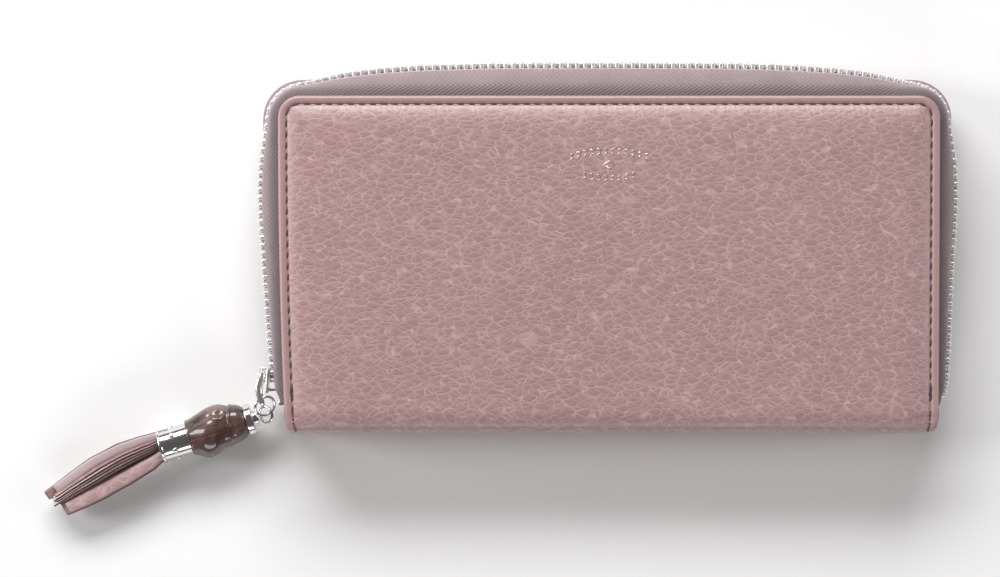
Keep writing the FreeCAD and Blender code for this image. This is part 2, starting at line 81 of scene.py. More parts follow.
class Shader:
    """Short way to build a node tree."""

    def __init__(self, name, **bsdf):
        self.material = bpy.data.materials.new(name)
        self.material.use_nodes = True
        self.tree = self.material.node_tree
        self.bsdf = self.tree.nodes["Principled BSDF"]
        for key, value in bsdf.items():
            self.bsdf.inputs[key.replace("_", " ")].default_value = value

    def put(self, socket, value):
        if isinstance(value, bpy.types.NodeSocket):
            self.tree.links.new(value, socket)
        elif isinstance(value, tuple) and len(value) == 3 and socket.type == "RGBA":
            socket.default_value = (*value, 1)
        else:
            socket.default_value = value

    def node(self, kind, out=0, settings=None, **inputs):
        """A node's output; its inputs are named, or numbered as i0, i1 and so on."""
        n = self.tree.nodes.new("ShaderNode" + kind)
        for key, value in (settings or {}).items():
            setattr(n, key, value)
        for key, value in inputs.items():
            numbered = key[0] == "i" and key[1:].isdigit()
            self.put(n.inputs[int(key[1:]) if numbered else key.replace("_", " ")], value)
        return n.outputs[out]

    def math(self, op, a, b=0.0, c=0.0, clamp=False):
        return self.node("Math", settings={"operation": op, "use_clamp": clamp}, i0=a, i1=b, i2=c)

    def times(self, a, b):
        return self.math("MULTIPLY", a, b)

    def madd(self, a, b, c):
        return self.math("MULTIPLY_ADD", a, b, c)

    def larger(self, a, b):
        return self.math("MAXIMUM", a, b)

    def inverse(self, a):
        return self.math("SUBTRACT", 1.0, a)

    def ripple(self, a, length):
        """Sine wave along a, one turn per length."""
        return self.math("SINE", self.times(a, 2 * math.pi / length))

    def vmath(self, op, a, b=(0, 0, 0), out=0):
        return self.node("VectorMath", out=out, settings={"operation": op}, i0=a, i1=b)

    def grown(self, vector, factor):
        return self.node("VectorMath", settings={"operation": "SCALE"}, i0=vector, Scale=factor)

    def split(self, vector):
        parts = self.node("SeparateXYZ", Vector=vector).node.outputs
        return parts[0], parts[1]

    def uv(self):
        return self.node("UVMap", settings={"uv_map": "UVMap"})

    def place(self):
        return self.node("TexCoord", out="Object")

    def scaled(self, vector, size, turn=0.0):
        return self.node("Mapping", i0=vector, Scale=size, Rotation=(0, 0, turn))

    def cells(self, vector, randomness=1.0, feature="DISTANCE_TO_EDGE", out=0):
        return self.node("TexVoronoi", out, {"feature": feature}, Vector=vector, Scale=1.0,
                         Randomness=randomness)

    def noise(self, vector, scale, detail=3.0, rough=0.55, out=0):
        return self.node("TexNoise", out=out, Vector=vector, Scale=scale, Detail=detail, Roughness=rough)

    def ramp(self, value, stops):
        n = self.tree.nodes.new("ShaderNodeValToRGB")
        while len(n.color_ramp.elements) < len(stops):
            n.color_ramp.elements.new(0.5)
        for element, (position, colour) in zip(n.color_ramp.elements, stops):
            element.position = position
            element.color = colour if isinstance(colour, tuple) else (colour, colour, colour, 1)
        self.put(n.inputs[0], value)
        return n.outputs[0]

    def span(self, value, low, high, to_low=0.0, to_high=1.0):
        return self.node("MapRange", settings={"interpolation_type": "SMOOTHSTEP"}, i0=value, i1=low,
                         i2=high, i3=to_low, i4=to_high)

    def mix(self, factor, a, b, blend="MIX"):
        n = self.tree.nodes.new("ShaderNodeMix")
        n.data_type = "RGBA"
        n.blend_type = blend
        self.put(n.inputs[0], factor)
        self.put(n.inputs[6], a)
        self.put(n.inputs[7], b)
        return n.outputs[2]

    def bump(self, height, strength, distance, normal=None):
        n = self.tree.nodes.new("ShaderNodeBump")
        n.inputs["Strength"].default_value = strength
        n.inputs["Distance"].default_value = distance
        self.put(n.inputs["Height"], height)
        if normal is not None:
            self.put(n.inputs["Normal"], normal)
        return n.outputs[0]

    def done(self, colour=None, roughness=None, normal=None):
        if colour is not None:
            self.put(self.bsdf.inputs["Base Color"], colour)
        if roughness is not None:
            self.put(self.bsdf.inputs["Roughness"], roughness)
        if normal is not None:
            self.put(self.bsdf.inputs["Normal"], normal)
        return self.material


# ---------------------------------------------------------------- materials
def pebbled_leather(name, base, crease, cell=2.32, relief=0.4, run=0.0, contrast=0.72):
    """Tumbled hide: flat pebbles between thin, paler creases that run along two slanting directions.
    run is the full length of a bordered hide in metres; its stitched border is smoother and paler."""
    s = Shader(name, Coat_Weight=0.6, Coat_Roughness=0.32, Sheen_Weight=0.06, Sheen_Roughness=0.5)
    plain = s.uv()
    uv = plain
    for scale, detail, reach in ((105, 2, 0.0021), (420, 1, 0.0005)):
        drift = s.vmath("SUBTRACT", s.noise(plain, scale, detail, 0.5, out=1), (0.5, 0.5, 0.5))
        uv = s.vmath("ADD", uv, s.grown(drift, reach))

    def slanted(size, rise, fall):
        """Coordinates whose unit lines run at +rise and -fall degrees."""
        ca, sa = math.cos(math.radians(rise)), math.sin(math.radians(rise))
        cb, sb = math.cos(math.radians(fall)), -math.sin(math.radians(fall))
        det = (ca * sb - cb * sa) * size * MM
        x = s.vmath("DOT_PRODUCT", uv, (sb / det, -cb / det, 0), out=1)
        y = s.vmath("DOT_PRODUCT", uv, (-sa / det, ca / det, 0), out=1)
        return s.node("CombineXYZ", X=x, Y=y)

    # creases: one net of pebbles, wider folds across them, and patches of finer wrinkles
    at = slanted(cell, 25, 33)
    edge = s.cells(at, 0.64)
    folds = s.cells(slanted(cell * 2.0, 28, 38), 0.7)
    fine = s.cells(slanted(cell * 0.6, 24, 52), 0.7)
    strong = s.span(s.noise(plain, 330, 2), 0.36, 0.62, 0.3, 1.0)
    patches = s.span(s.noise(plain, 210, 2), 0.55, 0.72, 0.0, 0.25)
    line = s.times(s.inverse(s.span(edge, 0.008, 0.068)), strong)
    line = s.larger(line, s.times(s.inverse(s.span(folds, 0.004, 0.035)), 0.55))
    line = s.larger(line, s.times(s.inverse(s.span(fine, 0.0, 0.09)), patches))
    height = s.times(s.span(edge, 0.0, 0.3), s.span(folds, 0.0, 0.1, 0.75, 1.0))

    # pebbles: cloudy, each with its own tone, darkest in the middle
    shade = s.ramp(s.noise(plain, 30, 3), [(0.25, tint(base, 0.95)), (0.75, tint(base, 1.06))])
    tone = s.split(s.cells(at, 0.64, "F1", out=1))[0]
    shade = s.mix(s.times(tone, 0.2), shade, tint(base, 0.78))
    middle = s.span(s.math("MINIMUM", edge, folds), 0.1, 0.42)
    shade = s.mix(s.times(middle, 0.4), shade, tint(base, 0.8))
    if run:
        # the stitched border: no grain, paler, painted shade in the seam groove, painted highlights on the
        # gathers under the seam of the long side
        u, v = s.split(plain)
        side = s.math("SUBTRACT", HALF_W * MM, s.math("ABSOLUTE", u))
        top = s.times(v, -1.0)
        inset = s.math("MINIMUM", side, s.math("MINIMUM", top, s.math("ADD", v, run)))
        panel = s.span(inset, 0.0019, 0.0034)
        line = s.times(line, s.span(inset, 0.0022, 0.0052, 0.15, 1.0))
        height = s.times(height, panel)
        shade = s.mix(s.times(s.inverse(panel), 0.5), shade, tint(base, 1.13))
        # painted highlight: the gathers under the long seam are drawn in the pale crease colour, standing
        # in for the light they catch
        stray = s.times(s.noise(plain, 300, 3), 17.0)
        pull = s.math("SINE", s.math("ADD", s.times(u, 2 * math.pi / 0.0017), stray))
        near = s.times(s.span(top, 0.0026, 0.0085, 1.0, 0.0), panel)
        near = s.times(near, s.span(side, 0.003, 0.006))
        near = s.times(near, s.span(s.noise(plain, 190, 2), 0.4, 0.6, 0.15, 1.0))
        line = s.larger(line, s.times(s.times(s.span(pull, -0.2, 1.0), near), 0.95))
        # painted shade: the seam groove is darkened in the colour, standing in for the shade that falls in
        # it
        groove = s.times(s.span(inset, 0.0019, 0.0023), s.span(inset, 0.0025, 0.003, 1.0, 0.0))
        shade = s.mix(s.times(groove, 0.35), shade, tint(base, 0.5))
    colour = s.mix(s.times(line, contrast), shade, crease)
    rough = s.madd(line, 0.1, s.madd(s.noise(plain, 500, 2), 0.14, 0.36))
    normal = s.bump(s.noise(plain, 3600, 2), 0.1, 0.00006)
    return s.done(colour, rough, s.bump(height, relief, 0.00016, normal))


def smooth_leather(name, base, roughness=0.42):
    """Fine even leather with shallow pores."""
    s = Shader(name, Coat_Weight=0.05, Coat_Roughness=0.4, Sheen_Weight=0.05)
    uv = s.uv()
    pores = s.cells(s.scaled(uv, (1 / 0.0011, 1 / 0.0009, 1)))
    colour = s.mix(s.noise(uv, 60, 3), tint(base, 0.9), tint(base, 1.1))
    rough = s.madd(s.noise(uv, 500, 3), 0.16, roughness - 0.08)
    return s.done(colour, rough, s.bump(s.span(pores, 0.0, 0.25), 0.3, 0.00006))


def cut_edge(name, base):
    """Painted cut edge of a strip: dark, slightly fibrous."""
    s = Shader(name)
    fibre = s.noise(s.place(), 2600, 4, 0.7)
    colour = s.mix(fibre, tint(base, 0.6), tint(base, 1.5))
    return s.done(colour, s.madd(fibre, 0.25, 0.45), s.bump(fibre, 0.4, 0.0001))


def herringbone(name, dark, light, width=0.0027, shadow=1.0):
    """Woven tape: slanting ribs that turn from one band to the next. U runs along the tape, V across it.
    shadow darkens the part that sits in the fold under the cover's edge."""
    s = Shader(name, Sheen_Weight=0.12, Sheen_Roughness=0.45)
    uv = s.uv()
    along, across = s.split(uv)
    zig = s.math("PINGPONG", across, width)
    rib = s.ripple(s.math("ADD", along, s.times(zig, 1.55)), 0.00145)
    yarn = s.ripple(across, 0.00042)
    weave = s.madd(s.times(rib, s.madd(yarn, 0.3, 0.7)), 0.5, 0.5)
    fuzz = s.noise(uv, 3800, 3, 0.7)
    value = s.math("ADD", s.times(weave, 0.5), s.times(fuzz, 0.55))
    tone = s.madd(s.noise(uv, 90, 3), 0.3, -0.15)
    colour = s.mix(s.math("ADD", value, tone, clamp=True), dark, light)
    if shadow < 1:
        # painted shadow: the tape is darkened where it sits in the fold under the cover's edge
        colour = s.grown(colour, s.span(across, 0.0031, 0.0068, shadow, 1.0))
    normal = s.bump(fuzz, 0.25, 0.0001)
    return s.done(colour, s.madd(fuzz, 0.2, 0.62), s.bump(weave, 0.6, 0.0002, normal))


def twill(name, dark, light):
    """Lining cloth with a diagonal rib."""
    s = Shader(name, Sheen_Weight=0.2)
    along, across = s.split(s.uv())
    weave = s.madd(s.ripple(s.math("ADD", along, across), 0.0009), 0.5, 0.5)
    fuzz = s.noise(s.uv(), 3500, 3)
    colour = s.mix(s.madd(weave, 0.5, s.times(fuzz, 0.5)), dark, light)
    return s.done(colour, s.madd(fuzz, 0.15, 0.6), s.bump(weave, 0.5, 0.00012))


def metal(name, base, roughness, scratch=0.04, metallic=1.0):
    """Plated metal with fine wear; scratch is how far its roughness varies."""
    s = Shader(name, Metallic=metallic)
    at = s.place()
    fine = s.noise(s.scaled(at, (1, 6, 1), 0.4), 900, 4, 0.6)
    cloud = s.noise(at, 260, 3)
    colour = s.mix(cloud, tint(base, 0.93), base)
    rough = s.madd(fine, scratch * 2, s.madd(cloud, 0.05, roughness - scratch))
    return s.done(colour, rough, s.bump(fine, 0.04, 0.00002))


def thread_material(name, base):
    """Twisted thread."""
    s = Shader(name, Sheen_Weight=0.15)
    bands = {"wave_type": "BANDS", "bands_direction": "DIAGONAL"}
    twist = s.node("TexWave", 1, bands, Vector=s.place(), Scale=900.0, Distortion=1.5)
    colour = s.mix(twist, tint(base, 0.55), tint(base, 1.35))
    return s.done(colour, s.madd(twist, 0.2, 0.42), s.bump(twist, 0.6, 0.0001))


def bamboo_material(name):
    """Scorched, lacquered bamboo: dark fibres along the piece and paler worn patches."""
    s = Shader(name, Coat_Weight=1.0, Coat_Roughness=0.06, Coat_IOR=1.55)
    uv = s.uv()
    fibres = s.noise(s.scaled(uv, (60, 1500, 1)), 1.0, 5, 0.6)
    cloud = s.noise(s.scaled(uv, (150, 110, 1)), 1.0, 3, 0.6)
    specks = s.noise(uv, 2200, 2, 0.7)
    value = s.math("ADD", s.times(fibres, 0.45), s.times(cloud, 0.6))
    colour = s.ramp(value, [(0.3, srgb(34, 20, 17)), (0.46, srgb(64, 42, 37)),
                            (0.58, srgb(98, 70, 64)), (0.72, srgb(148, 116, 110))])
    colour = s.mix(s.times(s.span(specks, 0.58, 0.75), 0.3), colour, srgb(120, 92, 86))
    return s.done(colour, s.madd(fibres, 0.2, 0.3), s.bump(fibres, 0.3, 0.00012))


def foil_material(name):
    """Stamped foil, worn in places."""
    s = Shader(name, Metallic=0.6)
    worn = s.noise(s.place(), 1400, 4, 0.7)
    colour = s.mix(s.span(worn, 0.4, 0.62), srgb(178, 152, 152), srgb(222, 204, 204))
    return s.done(colour, s.madd(worn, 0.3, 0.2), s.bump(worn, 0.3, 0.00004))


HIDE_RUN = 0.2056
LEATHER = pebbled_leather("LeatherPebbled", srgb(167, 133, 133), srgb(204, 174, 174), run=HIDE_RUN)
TASSEL_GRAIN = pebbled_leather("TasselGrain", srgb(160, 128, 128), srgb(196, 166, 166), cell=3.0,
                               contrast=0.55)
TASSEL_PALE = smooth_leather("TasselPale", srgb(212, 190, 192), 0.4)
EDGE = cut_edge("TasselEdge", srgb(84, 62, 58))
LEATHER_EDGE = cut_edge("LeatherEdge", srgb(120, 92, 92))
INNER = smooth_leather("InnerLeather", srgb(172, 140, 140))
GUSSET = smooth_leather("GussetLeather", srgb(162, 130, 130), 0.5)
LINING = twill("LiningTwill", srgb(96, 74, 72), srgb(138, 112, 108))
TAPE = herringbone("ZipTape", srgb(90, 73, 76), srgb(176, 158, 161), shadow=0.55)
TAPE_INNER = herringbone("CoinZipTape", srgb(106, 90, 94), srgb(186, 170, 174))
# painted highlight: the cord is a paler copy of the tape's cloth, standing in for the light on its raised
# edge
TAPE_CORD_HIGHLIGHT = herringbone("ZipCordPaintedHighlight", srgb(150, 128, 132), srgb(206, 184, 188), 0.0005)
THREAD = thread_material("StitchThread", srgb(78, 58, 54))
THREAD_INNER = thread_material("StitchThreadInner", srgb(120, 94, 92))
SATIN = metal("SatinMetal", (0.9, 0.87, 0.85, 1), 0.25, 0.05, 0.93)
CHROME = metal("PolishedMetal", (0.86, 0.85, 0.84, 1), 0.13, 0.015)
TEETH = metal("ZipMetal", (0.9, 0.88, 0.87, 1), 0.36, 0.06, 0.72)
BAMBOO = bamboo_material("ScorchedBamboo")
FOIL = foil_material("StampedFoil")
BOARD = smooth_leather("BondedBoard", srgb(150, 138, 124), 0.7)


# ---------------------------------------------------------------- mesh helpers
def build(name, verts, faces, materials, uv=None, index=None):
    """Mesh object from vertices in mm; uv holds one pair per vertex, in metres."""
    mesh = bpy.data.meshes.new(name)
    verts = np.asarray(verts, float) * MM
    mesh.from_pydata(verts.tolist(), [], faces)
    for m in materials:
        mesh.materials.append(m)
    if index is not None:
        mesh.polygons.foreach_set("material_index", index)
    mesh.polygons.foreach_set("use_smooth", [True] * len(mesh.polygons))
    if uv is not None:
        layer = mesh.uv_layers.new(name="UVMap")
        loops = np.empty(len(mesh.loops), int)
        mesh.loops.foreach_get("vertex_index", loops)
        layer.data.foreach_set("uv", np.asarray(uv, float)[loops].astype(np.float32).ravel())
    mesh.update()
    obj = bpy.data.objects.new(name, mesh)
    bpy.context.scene.collection.objects.link(obj)
    return obj


def grid_quads(rows, cols, base=0, flip=False):
    quads = []
    for r in range(rows - 1):
        for c in range(cols - 1):
            a = base + r * cols + c
            q = (a, a + 1, a + cols + 1, a + cols)
            quads.append(q[::-1] if flip else q)
    return quads


def ring_faces(rings, sides, flip=False):
    """Faces between equal rings of vertices, closed at both ends."""
    faces = []
    for i in range(rings - 1):
        for k in range(sides):
            a, b = i * sides + k, i * sides + (k + 1) % sides
            faces.append((a, b, b + sides, a + sides))
    faces.append(tuple(range(sides))[::-1])
    faces.append(tuple((rings - 1) * sides + k for k in range(sides)))
    return [f[::-1] for f in faces] if flip else faces


def rim_loop(rows, cols):
    loop = list(range(cols))
    loop += [r * cols + cols - 1 for r in range(1, rows)]
    loop += [(rows - 1) * cols + c for c in range(cols - 2, -1, -1)]
    loop += [r * cols for r in range(rows - 2, 0, -1)]
    return loop


def grid_normals(points):
    du = np.gradient(points, axis=1)
    dv = np.gradient(points, axis=0)
    n = np.cross(du, dv)
    return n / np.maximum(np.linalg.norm(n, axis=2, keepdims=True), 1e-9)


def shell(name, points, thickness, materials, uv, rim_index=0, rounded=0.35):
    """Closed thin piece about a grid of points (rows, cols, 3); its rim is rounded by an extra loop."""
    rows, cols = points.shape[:2]
    n = grid_normals(points)
    half = np.full((rows, cols, 1), thickness / 2)
    for edge in (np.s_[0, :], np.s_[-1, :], np.s_[:, 0], np.s_[:, -1]):
        half[edge] = thickness / 2 * (1 - rounded)
    top = points + n * half
    low = points - n * half
    count = rows * cols
    loop = rim_loop(rows, cols)
    ring = []
    for k in loop:
        r, c = divmod(k, cols)
        inward = points[min(max(r, 1), rows - 2), min(max(c, 1), cols - 2)] - points[r, c]
        length = np.linalg.norm(inward)
        push = inward / length * thickness * 0.22 if length > 1e-9 else inward
        ring.append(points[r, c] - push)
    verts = np.concatenate([top.reshape(-1, 3), low.reshape(-1, 3), np.array(ring)])
    faces = grid_quads(rows, cols) + grid_quads(rows, cols, count, True)
    index = [0] * len(faces)
    size = len(loop)
    for i in range(size):
        a, b = loop[i], loop[(i + 1) % size]
        m, k = 2 * count + i, 2 * count + (i + 1) % size
        faces.append((b, a, m, k))
        faces.append((k, m, count + a, count + b))
        index += [rim_index, rim_index]
    flat = uv.reshape(-1, 2)
    uvs = np.concatenate([flat, flat, flat[loop]])
    return build(name, verts, faces, materials, uvs, index)


def tube(name, points, radius, materials, sides=10, squash=1.0):
    """Round thread or wire along points, closed at both ends."""
    points = np.asarray(points, float)
    count = len(points)
    tangents = np.gradient(points, axis=0)
    tangents /= np.linalg.norm(tangents, axis=1, keepdims=True)
    up = np.array([0.0, 0.0, 1.0])
    verts = []
    uvs = []
    walked = 0.0
    for i in range(count):
        side = np.cross(tangents[i], up)
        if np.linalg.norm(side) < 1e-6:
            side = X_AXIS.copy()
        side /= np.linalg.norm(side)
        top = np.cross(side, tangents[i])
        if i:
            walked += float(np.linalg.norm(points[i] - points[i - 1]))
        r = radius[i] if hasattr(radius, "__len__") else radius
        for k in range(sides):
            a = 2 * math.pi * k / sides
            verts.append(points[i] + side * math.cos(a) * r + top * math.sin(a) * r * squash)
            uvs.append((walked * MM, a / 6.283 * 2 * math.pi * r * MM))
    return build(name, verts, ring_faces(count, sides), materials, uvs)


def joined(name, objects):
    """One object out of several, keeping materials and UVs."""
    bpy.ops.object.select_all(action="DESELECT")
    for o in objects:
        o.select_set(True)
    bpy.context.view_layer.objects.active = objects[0]
    bpy.ops.object.join()
    objects[0].name = name
    objects[0].data.name = name
    return objects[0]


def copies(name, template, places, materials):
    """Many placed copies of one small mesh as one object. template is (verts, faces); places are 4x4
    arrays in mm."""
    base, quads = template
    base = np.c_[np.asarray(base, float), np.ones(len(base))]
    verts = np.concatenate([(np.asarray(p) @ base.T).T[:, :3] for p in places])
    faces = [tuple(v + i * len(base) for v in q) for i in range(len(places)) for q in quads]
    return build(name, verts, faces, materials, verts[:, :2] * MM)


def rounded_box(boxes, bevel, segments=2):
    """Template mesh of bevelled boxes, each (x0, x1, y0, y1, z0, z1)."""
    bm = bmesh.new()
    for x0, x1, y0, y1, z0, z1 in boxes:
        made = bmesh.ops.create_cube(bm, size=1.0)
        for v in made["verts"]:
            v.co = Vector(((x0 + x1) / 2 + v.co.x * (x1 - x0), (y0 + y1) / 2 + v.co.y * (y1 - y0),
                           (z0 + z1) / 2 + v.co.z * (z1 - z0)))
    bmesh.ops.bevel(bm, geom=bm.edges[:], offset=bevel, segments=segments, profile=0.6, affect="EDGES",
                    clamp_overlap=True)
    bm.verts.index_update()
    verts = [tuple(v.co) for v in bm.verts]
    faces = [tuple(v.index for v in f.verts) for f in bm.faces]
    bm.free()
    return verts, faces


def frame_at(position, x_axis, y_axis, z_axis):
    m = np.eye(4)
    m[:3, 0], m[:3, 1], m[:3, 2], m[:3, 3] = x_axis, y_axis, z_axis, position
    return m


def lerp_table(table, t):
    xs, ys = zip(*table)
    return float(np.interp(t, xs, ys))


def smooth(a, b, x):
    t = np.clip((x - a) / (b - a), 0, 1)
    return t * t * (3 - 2 * t)


def wobble(x, y, size, seed):
    return noise.noise(Vector((x / size, y / size, seed * 7.3)))


# ---------------------------------------------------------------- outer leather, one hide round the spine
def edge_round(d, r=0.7):
    """How far a rolled edge has dropped at distance d in from it."""
    if d >= r:
        return 0.0
    t = 1 - d / r
    return 0.62 * (1 - math.sqrt(max(0.0, 1 - t * t)))


def cover_height(d, swell):
    """Outer surface against the nominal face, d in from the edge: rolled border, seam groove, padding."""
    h = -1.2 - edge_round(d)
    h += 0.26 * math.sin(math.pi * min(d, 2.2) / 2.2)
    h -= 0.34 * math.exp(-((d - 2.4) / 0.34) ** 2)
    if d > 2.3:
        h += (1.2 + swell) * (1 - math.exp(-((d - 2.3) / 3.1) ** 1.1))
    return h


def spaced(edge, end, step):
    """Distances from an edge: dense at the border, then even steps to end."""
    out = [d for d in edge if d < end]
    count = max(1, int(round((end - out[-1]) / step)))
    first = out[-1]
    out += [first + (end - first) * (i + 1) / count for i in range(count)]
    return out


INSET = 2.4          # seam from the cover's edge
PITCH = 2.95         # one stitch
DRAW = 0.7           # how far the covers' sides draw in at the spine
# distances from an edge that the rolled border and the seam need
BORDER = [0, 0.12, 0.3, 0.5, 0.75, 1.05, 1.4, 1.75, 2.0, 2.2, 2.4, 2.6, 2.85, 3.15, 3.5, 4.0, 4.6, 5.3, 6.0]
SWELL = {"front": 0.42, "fold_front": 0.42, "spine": 0.1, "fold_back": 0.0, "back": 0.0}


def round_corner(a, b):
    """Radius and angle of a round corner for the point (a, b) of a square one."""
    return max(a, b), math.pi / 4 * b / a if a >= b else math.pi / 2 - math.pi / 4 * a / b


def lean_x(x, y):
    """The cover narrows a little towards the spine, more on the left."""
    t = min(max((HALF_H - y) / 92, 0), 1)
    return x + (2.05 * t ** 2.3 if x < 0 else -0.45 * t) * abs(x) / HALF_W


def fold_frame(a, up):
    """Nominal point of the fold a radians round it, its outward normal, how far the border has come level
    with the middle, and how far the sides have drawn in."""
    ry, rz = HALF_H + FOLD_Y, FOLD_Z
    place = (FOLD_Y - ry * math.sin(a), (THICK - FOLD_Z if up > 0 else FOLD_Z) + up * rz * math.cos(a))
    ny, nz = -math.sin(a) / ry, up * math.cos(a) / rz
    size = math.hypot(ny, nz)
    level = float(smooth(0.3, 0.95, math.sin(a)))
    draw = DRAW * (1 - math.sqrt(max(0.0, 1 - float(smooth(0.25, 1.0, math.sin(a))) ** 2)))
    return place, (ny / size, nz / size), level, draw


def stitch_pull(d, along, depth, shift=0.0):
    """How far each stitch draws the leather in, next to the seam."""
    if not 2.5 < d < 9:
        return 0.0
    pull = math.exp(-(d - 2.5) / 1.9) * float(smooth(2.5, 3.1, d))
    return pull * depth * (1 + math.cos(2 * math.pi * along / PITCH + shift))


def level_height(d, swell):
    """Outer surface round the spine, where the border is no longer pressed flat."""
    return swell - 0.35 * math.exp(-d / 2.5) - edge_round(d, 1.0) - 0.1 * math.exp(-((d - 2.4) / 0.3) ** 2)


def hide_rows():
    """Rows of the hide from the front's zip side round the spine to the back's: kind, place, distance from
    the zip side's edge, length walked."""
    flat = spaced(BORDER, HALF_H - FOLD_Y, 1.1)
    tall = THICK - 2 * FOLD_Z
    walked = HALF_H - FOLD_Y
    turn = [i / 12 for i in range(1, 12)]
    down = [tall * i / 14 for i in range(15)]
    rows = [("front", HALF_H - d, d, 0.0) for d in flat]
    rows += [("fold_front", t, FAR, walked + t * FOLD_RUN) for t in turn]
    rows += [("spine", THICK - FOLD_Z - z, FAR, walked + FOLD_RUN + z) for z in down]
    walked += FOLD_RUN + tall
    rows += [("fold_back", t, FAR, walked + t * FOLD_RUN) for t in turn]
    walked += FOLD_RUN
    rows += [("back", HALF_H - d, d, walked + HALF_H - d - FOLD_Y) for d in reversed(flat)]
    return rows


def outer_leather():
    half = spaced(BORDER, HALF_W, 1.1)
    columns = [(-1, d) for d in half[:-1]] + [(0, HALF_W)] + [(1, d) for d in reversed(half[:-1])]
    rows = hide_rows()
    outer = []
    inner = []
    uvs = []
    for kind, t, d_top, run in rows:
        flat = kind in ("front", "back")
        swell = SWELL[kind]
        for side, d_side in columns:
            x = 0.0 if side == 0 else side * (HALF_W - d_side)
            d = min(d_side, d_top)
            px = x
            if flat:
                y = t
                if d_side < CORNER and d_top < CORNER:
                    rho, phi = round_corner(CORNER - d_side, CORNER - d_top)
                    px = side * (HALF_W - CORNER + rho * math.cos(phi))
                    y = HALF_H - CORNER + rho * math.sin(phi)
                    d = CORNER - rho
                front = kind == "front"
                centre, normal = ((y, THICK), (0, 1)) if front else ((y, 0.0), (0, -1))
                level = draw = 0.0
            elif kind == "spine":
                centre, normal, level, draw = (-HALF_H, t), (-1, 0), 1.0, DRAW
            else:
                front = kind == "fold_front"
                centre, normal, level, draw = fold_frame(math.pi / 2 * (t if front else 1 - t),
                                                         1 if front else -1)
            if side and not flat:
                reach = HALF_W - draw
                px = side * (reach - d_side) if d_side < 8 else px * reach / HALF_W
            h = cover_height(d, swell)
            h += level * (level_height(d, swell) - h)
            if d > 4 and swell:
                h += smooth(4, 12, d) * (0.1 * wobble(x, run, 21, 1) + 0.045 * wobble(x, run, 7, 2))
            if kind == "front":
                h -= stitch_pull(d_top, x, 0.075, 1.3 * wobble(x, 0, 9, 5))
            if flat:
                h -= stitch_pull(d_side, centre[0], 0.06)
            if kind == "spine":
                h += 0.25 * math.sin(math.pi * (t - FOLD_Z) / (THICK - 2 * FOLD_Z))
                h += 0.2 * wobble(x, t * 1.5, 24, 3)
            px = lean_x(px, centre[0])
            outer.append((px, centre[0] + normal[0] * h, centre[1] + normal[1] * h))
            under = -2.1 + edge_round(d)
            inner.append((px, centre[0] + normal[0] * under, centre[1] + normal[1] * under))
            uvs.append((x * MM, -run * MM if kind != "front" else (t - HALF_H) * MM))
    cols = len(columns)
    count = len(rows) * cols
    faces = grid_quads(len(rows), cols, 0, True) + grid_quads(len(rows), cols, count)
    loop = rim_loop(len(rows), cols)
    index = [0] * len(faces) + [1] * len(loop)
    faces += [(a, b, count + b, count + a) for a, b in zip(loop, loop[1:] + loop[:1])]
    hide = build("leather_hide", outer + inner, faces, [LEATHER, LEATHER_EDGE], uvs + uvs, index)
    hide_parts("front_cover_leather", "spine_leather", "back_cover_leather", "front_foam",
                "back_foam")
    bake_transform(hide)
    return hide


hide = outer_leather()


# ---------------------------------------------------------------- stitches on the covers
def stitch_template(length=2.15, radius=0.27):
    """One saddle stitch: a short thread that arches and dives into the leather at both ends."""
    sides, steps = 8, 9
    verts = []
    for i in range(steps):
        t = i / (steps - 1)
        x = (t - 0.5) * length
        z = 0.2 * math.sin(math.pi * t) - 0.1
        r = radius * (0.55 + 0.45 * math.sin(math.pi * t) ** 0.6)
        for k in range(sides):
            a = 2 * math.pi * k / sides
            verts.append((x, r * math.cos(a), z + r * 0.85 * math.sin(a)))
    return verts, ring_faces(steps, sides)


STITCH = stitch_template()


def border_line(step):
    """Places along the stitch line, lower left over the top to lower right: (x, y, heading)."""
    hx, hy, r = HALF_W - INSET, HALF_H - INSET, CORNER - INSET
    fine = 0.2
    up = [(-hx, y, math.pi / 2) for y in np.arange(FOLD_Y + 0.4, hy - r, fine)]
    top = [(x, hy, 0.0) for x in np.arange(-hx + r, hx - r, fine)]
    low = np.arange(hy - r, FOLD_Y + 0.4, -fine)
    line = list(up)
    for side, corner, straight in ((-1, math.pi, top),
                                   (1, math.pi / 2, [(hx, y, -math.pi / 2) for y in low])):
        for i in range(1, 20):
            a = corner - math.pi / 2 * i / 20
            line.append((side * (hx - r) + r * math.cos(a), hy - r + r * math.sin(a), a - math.pi / 2))
        line += straight
    out = [line[0]]
    walked = 0.0
    for last, c in zip(line, line[1:]):
        walked += math.hypot(c[0] - last[0], c[1] - last[1])
        if walked >= step:
            out.append(c)
            walked = 0.0
    return out


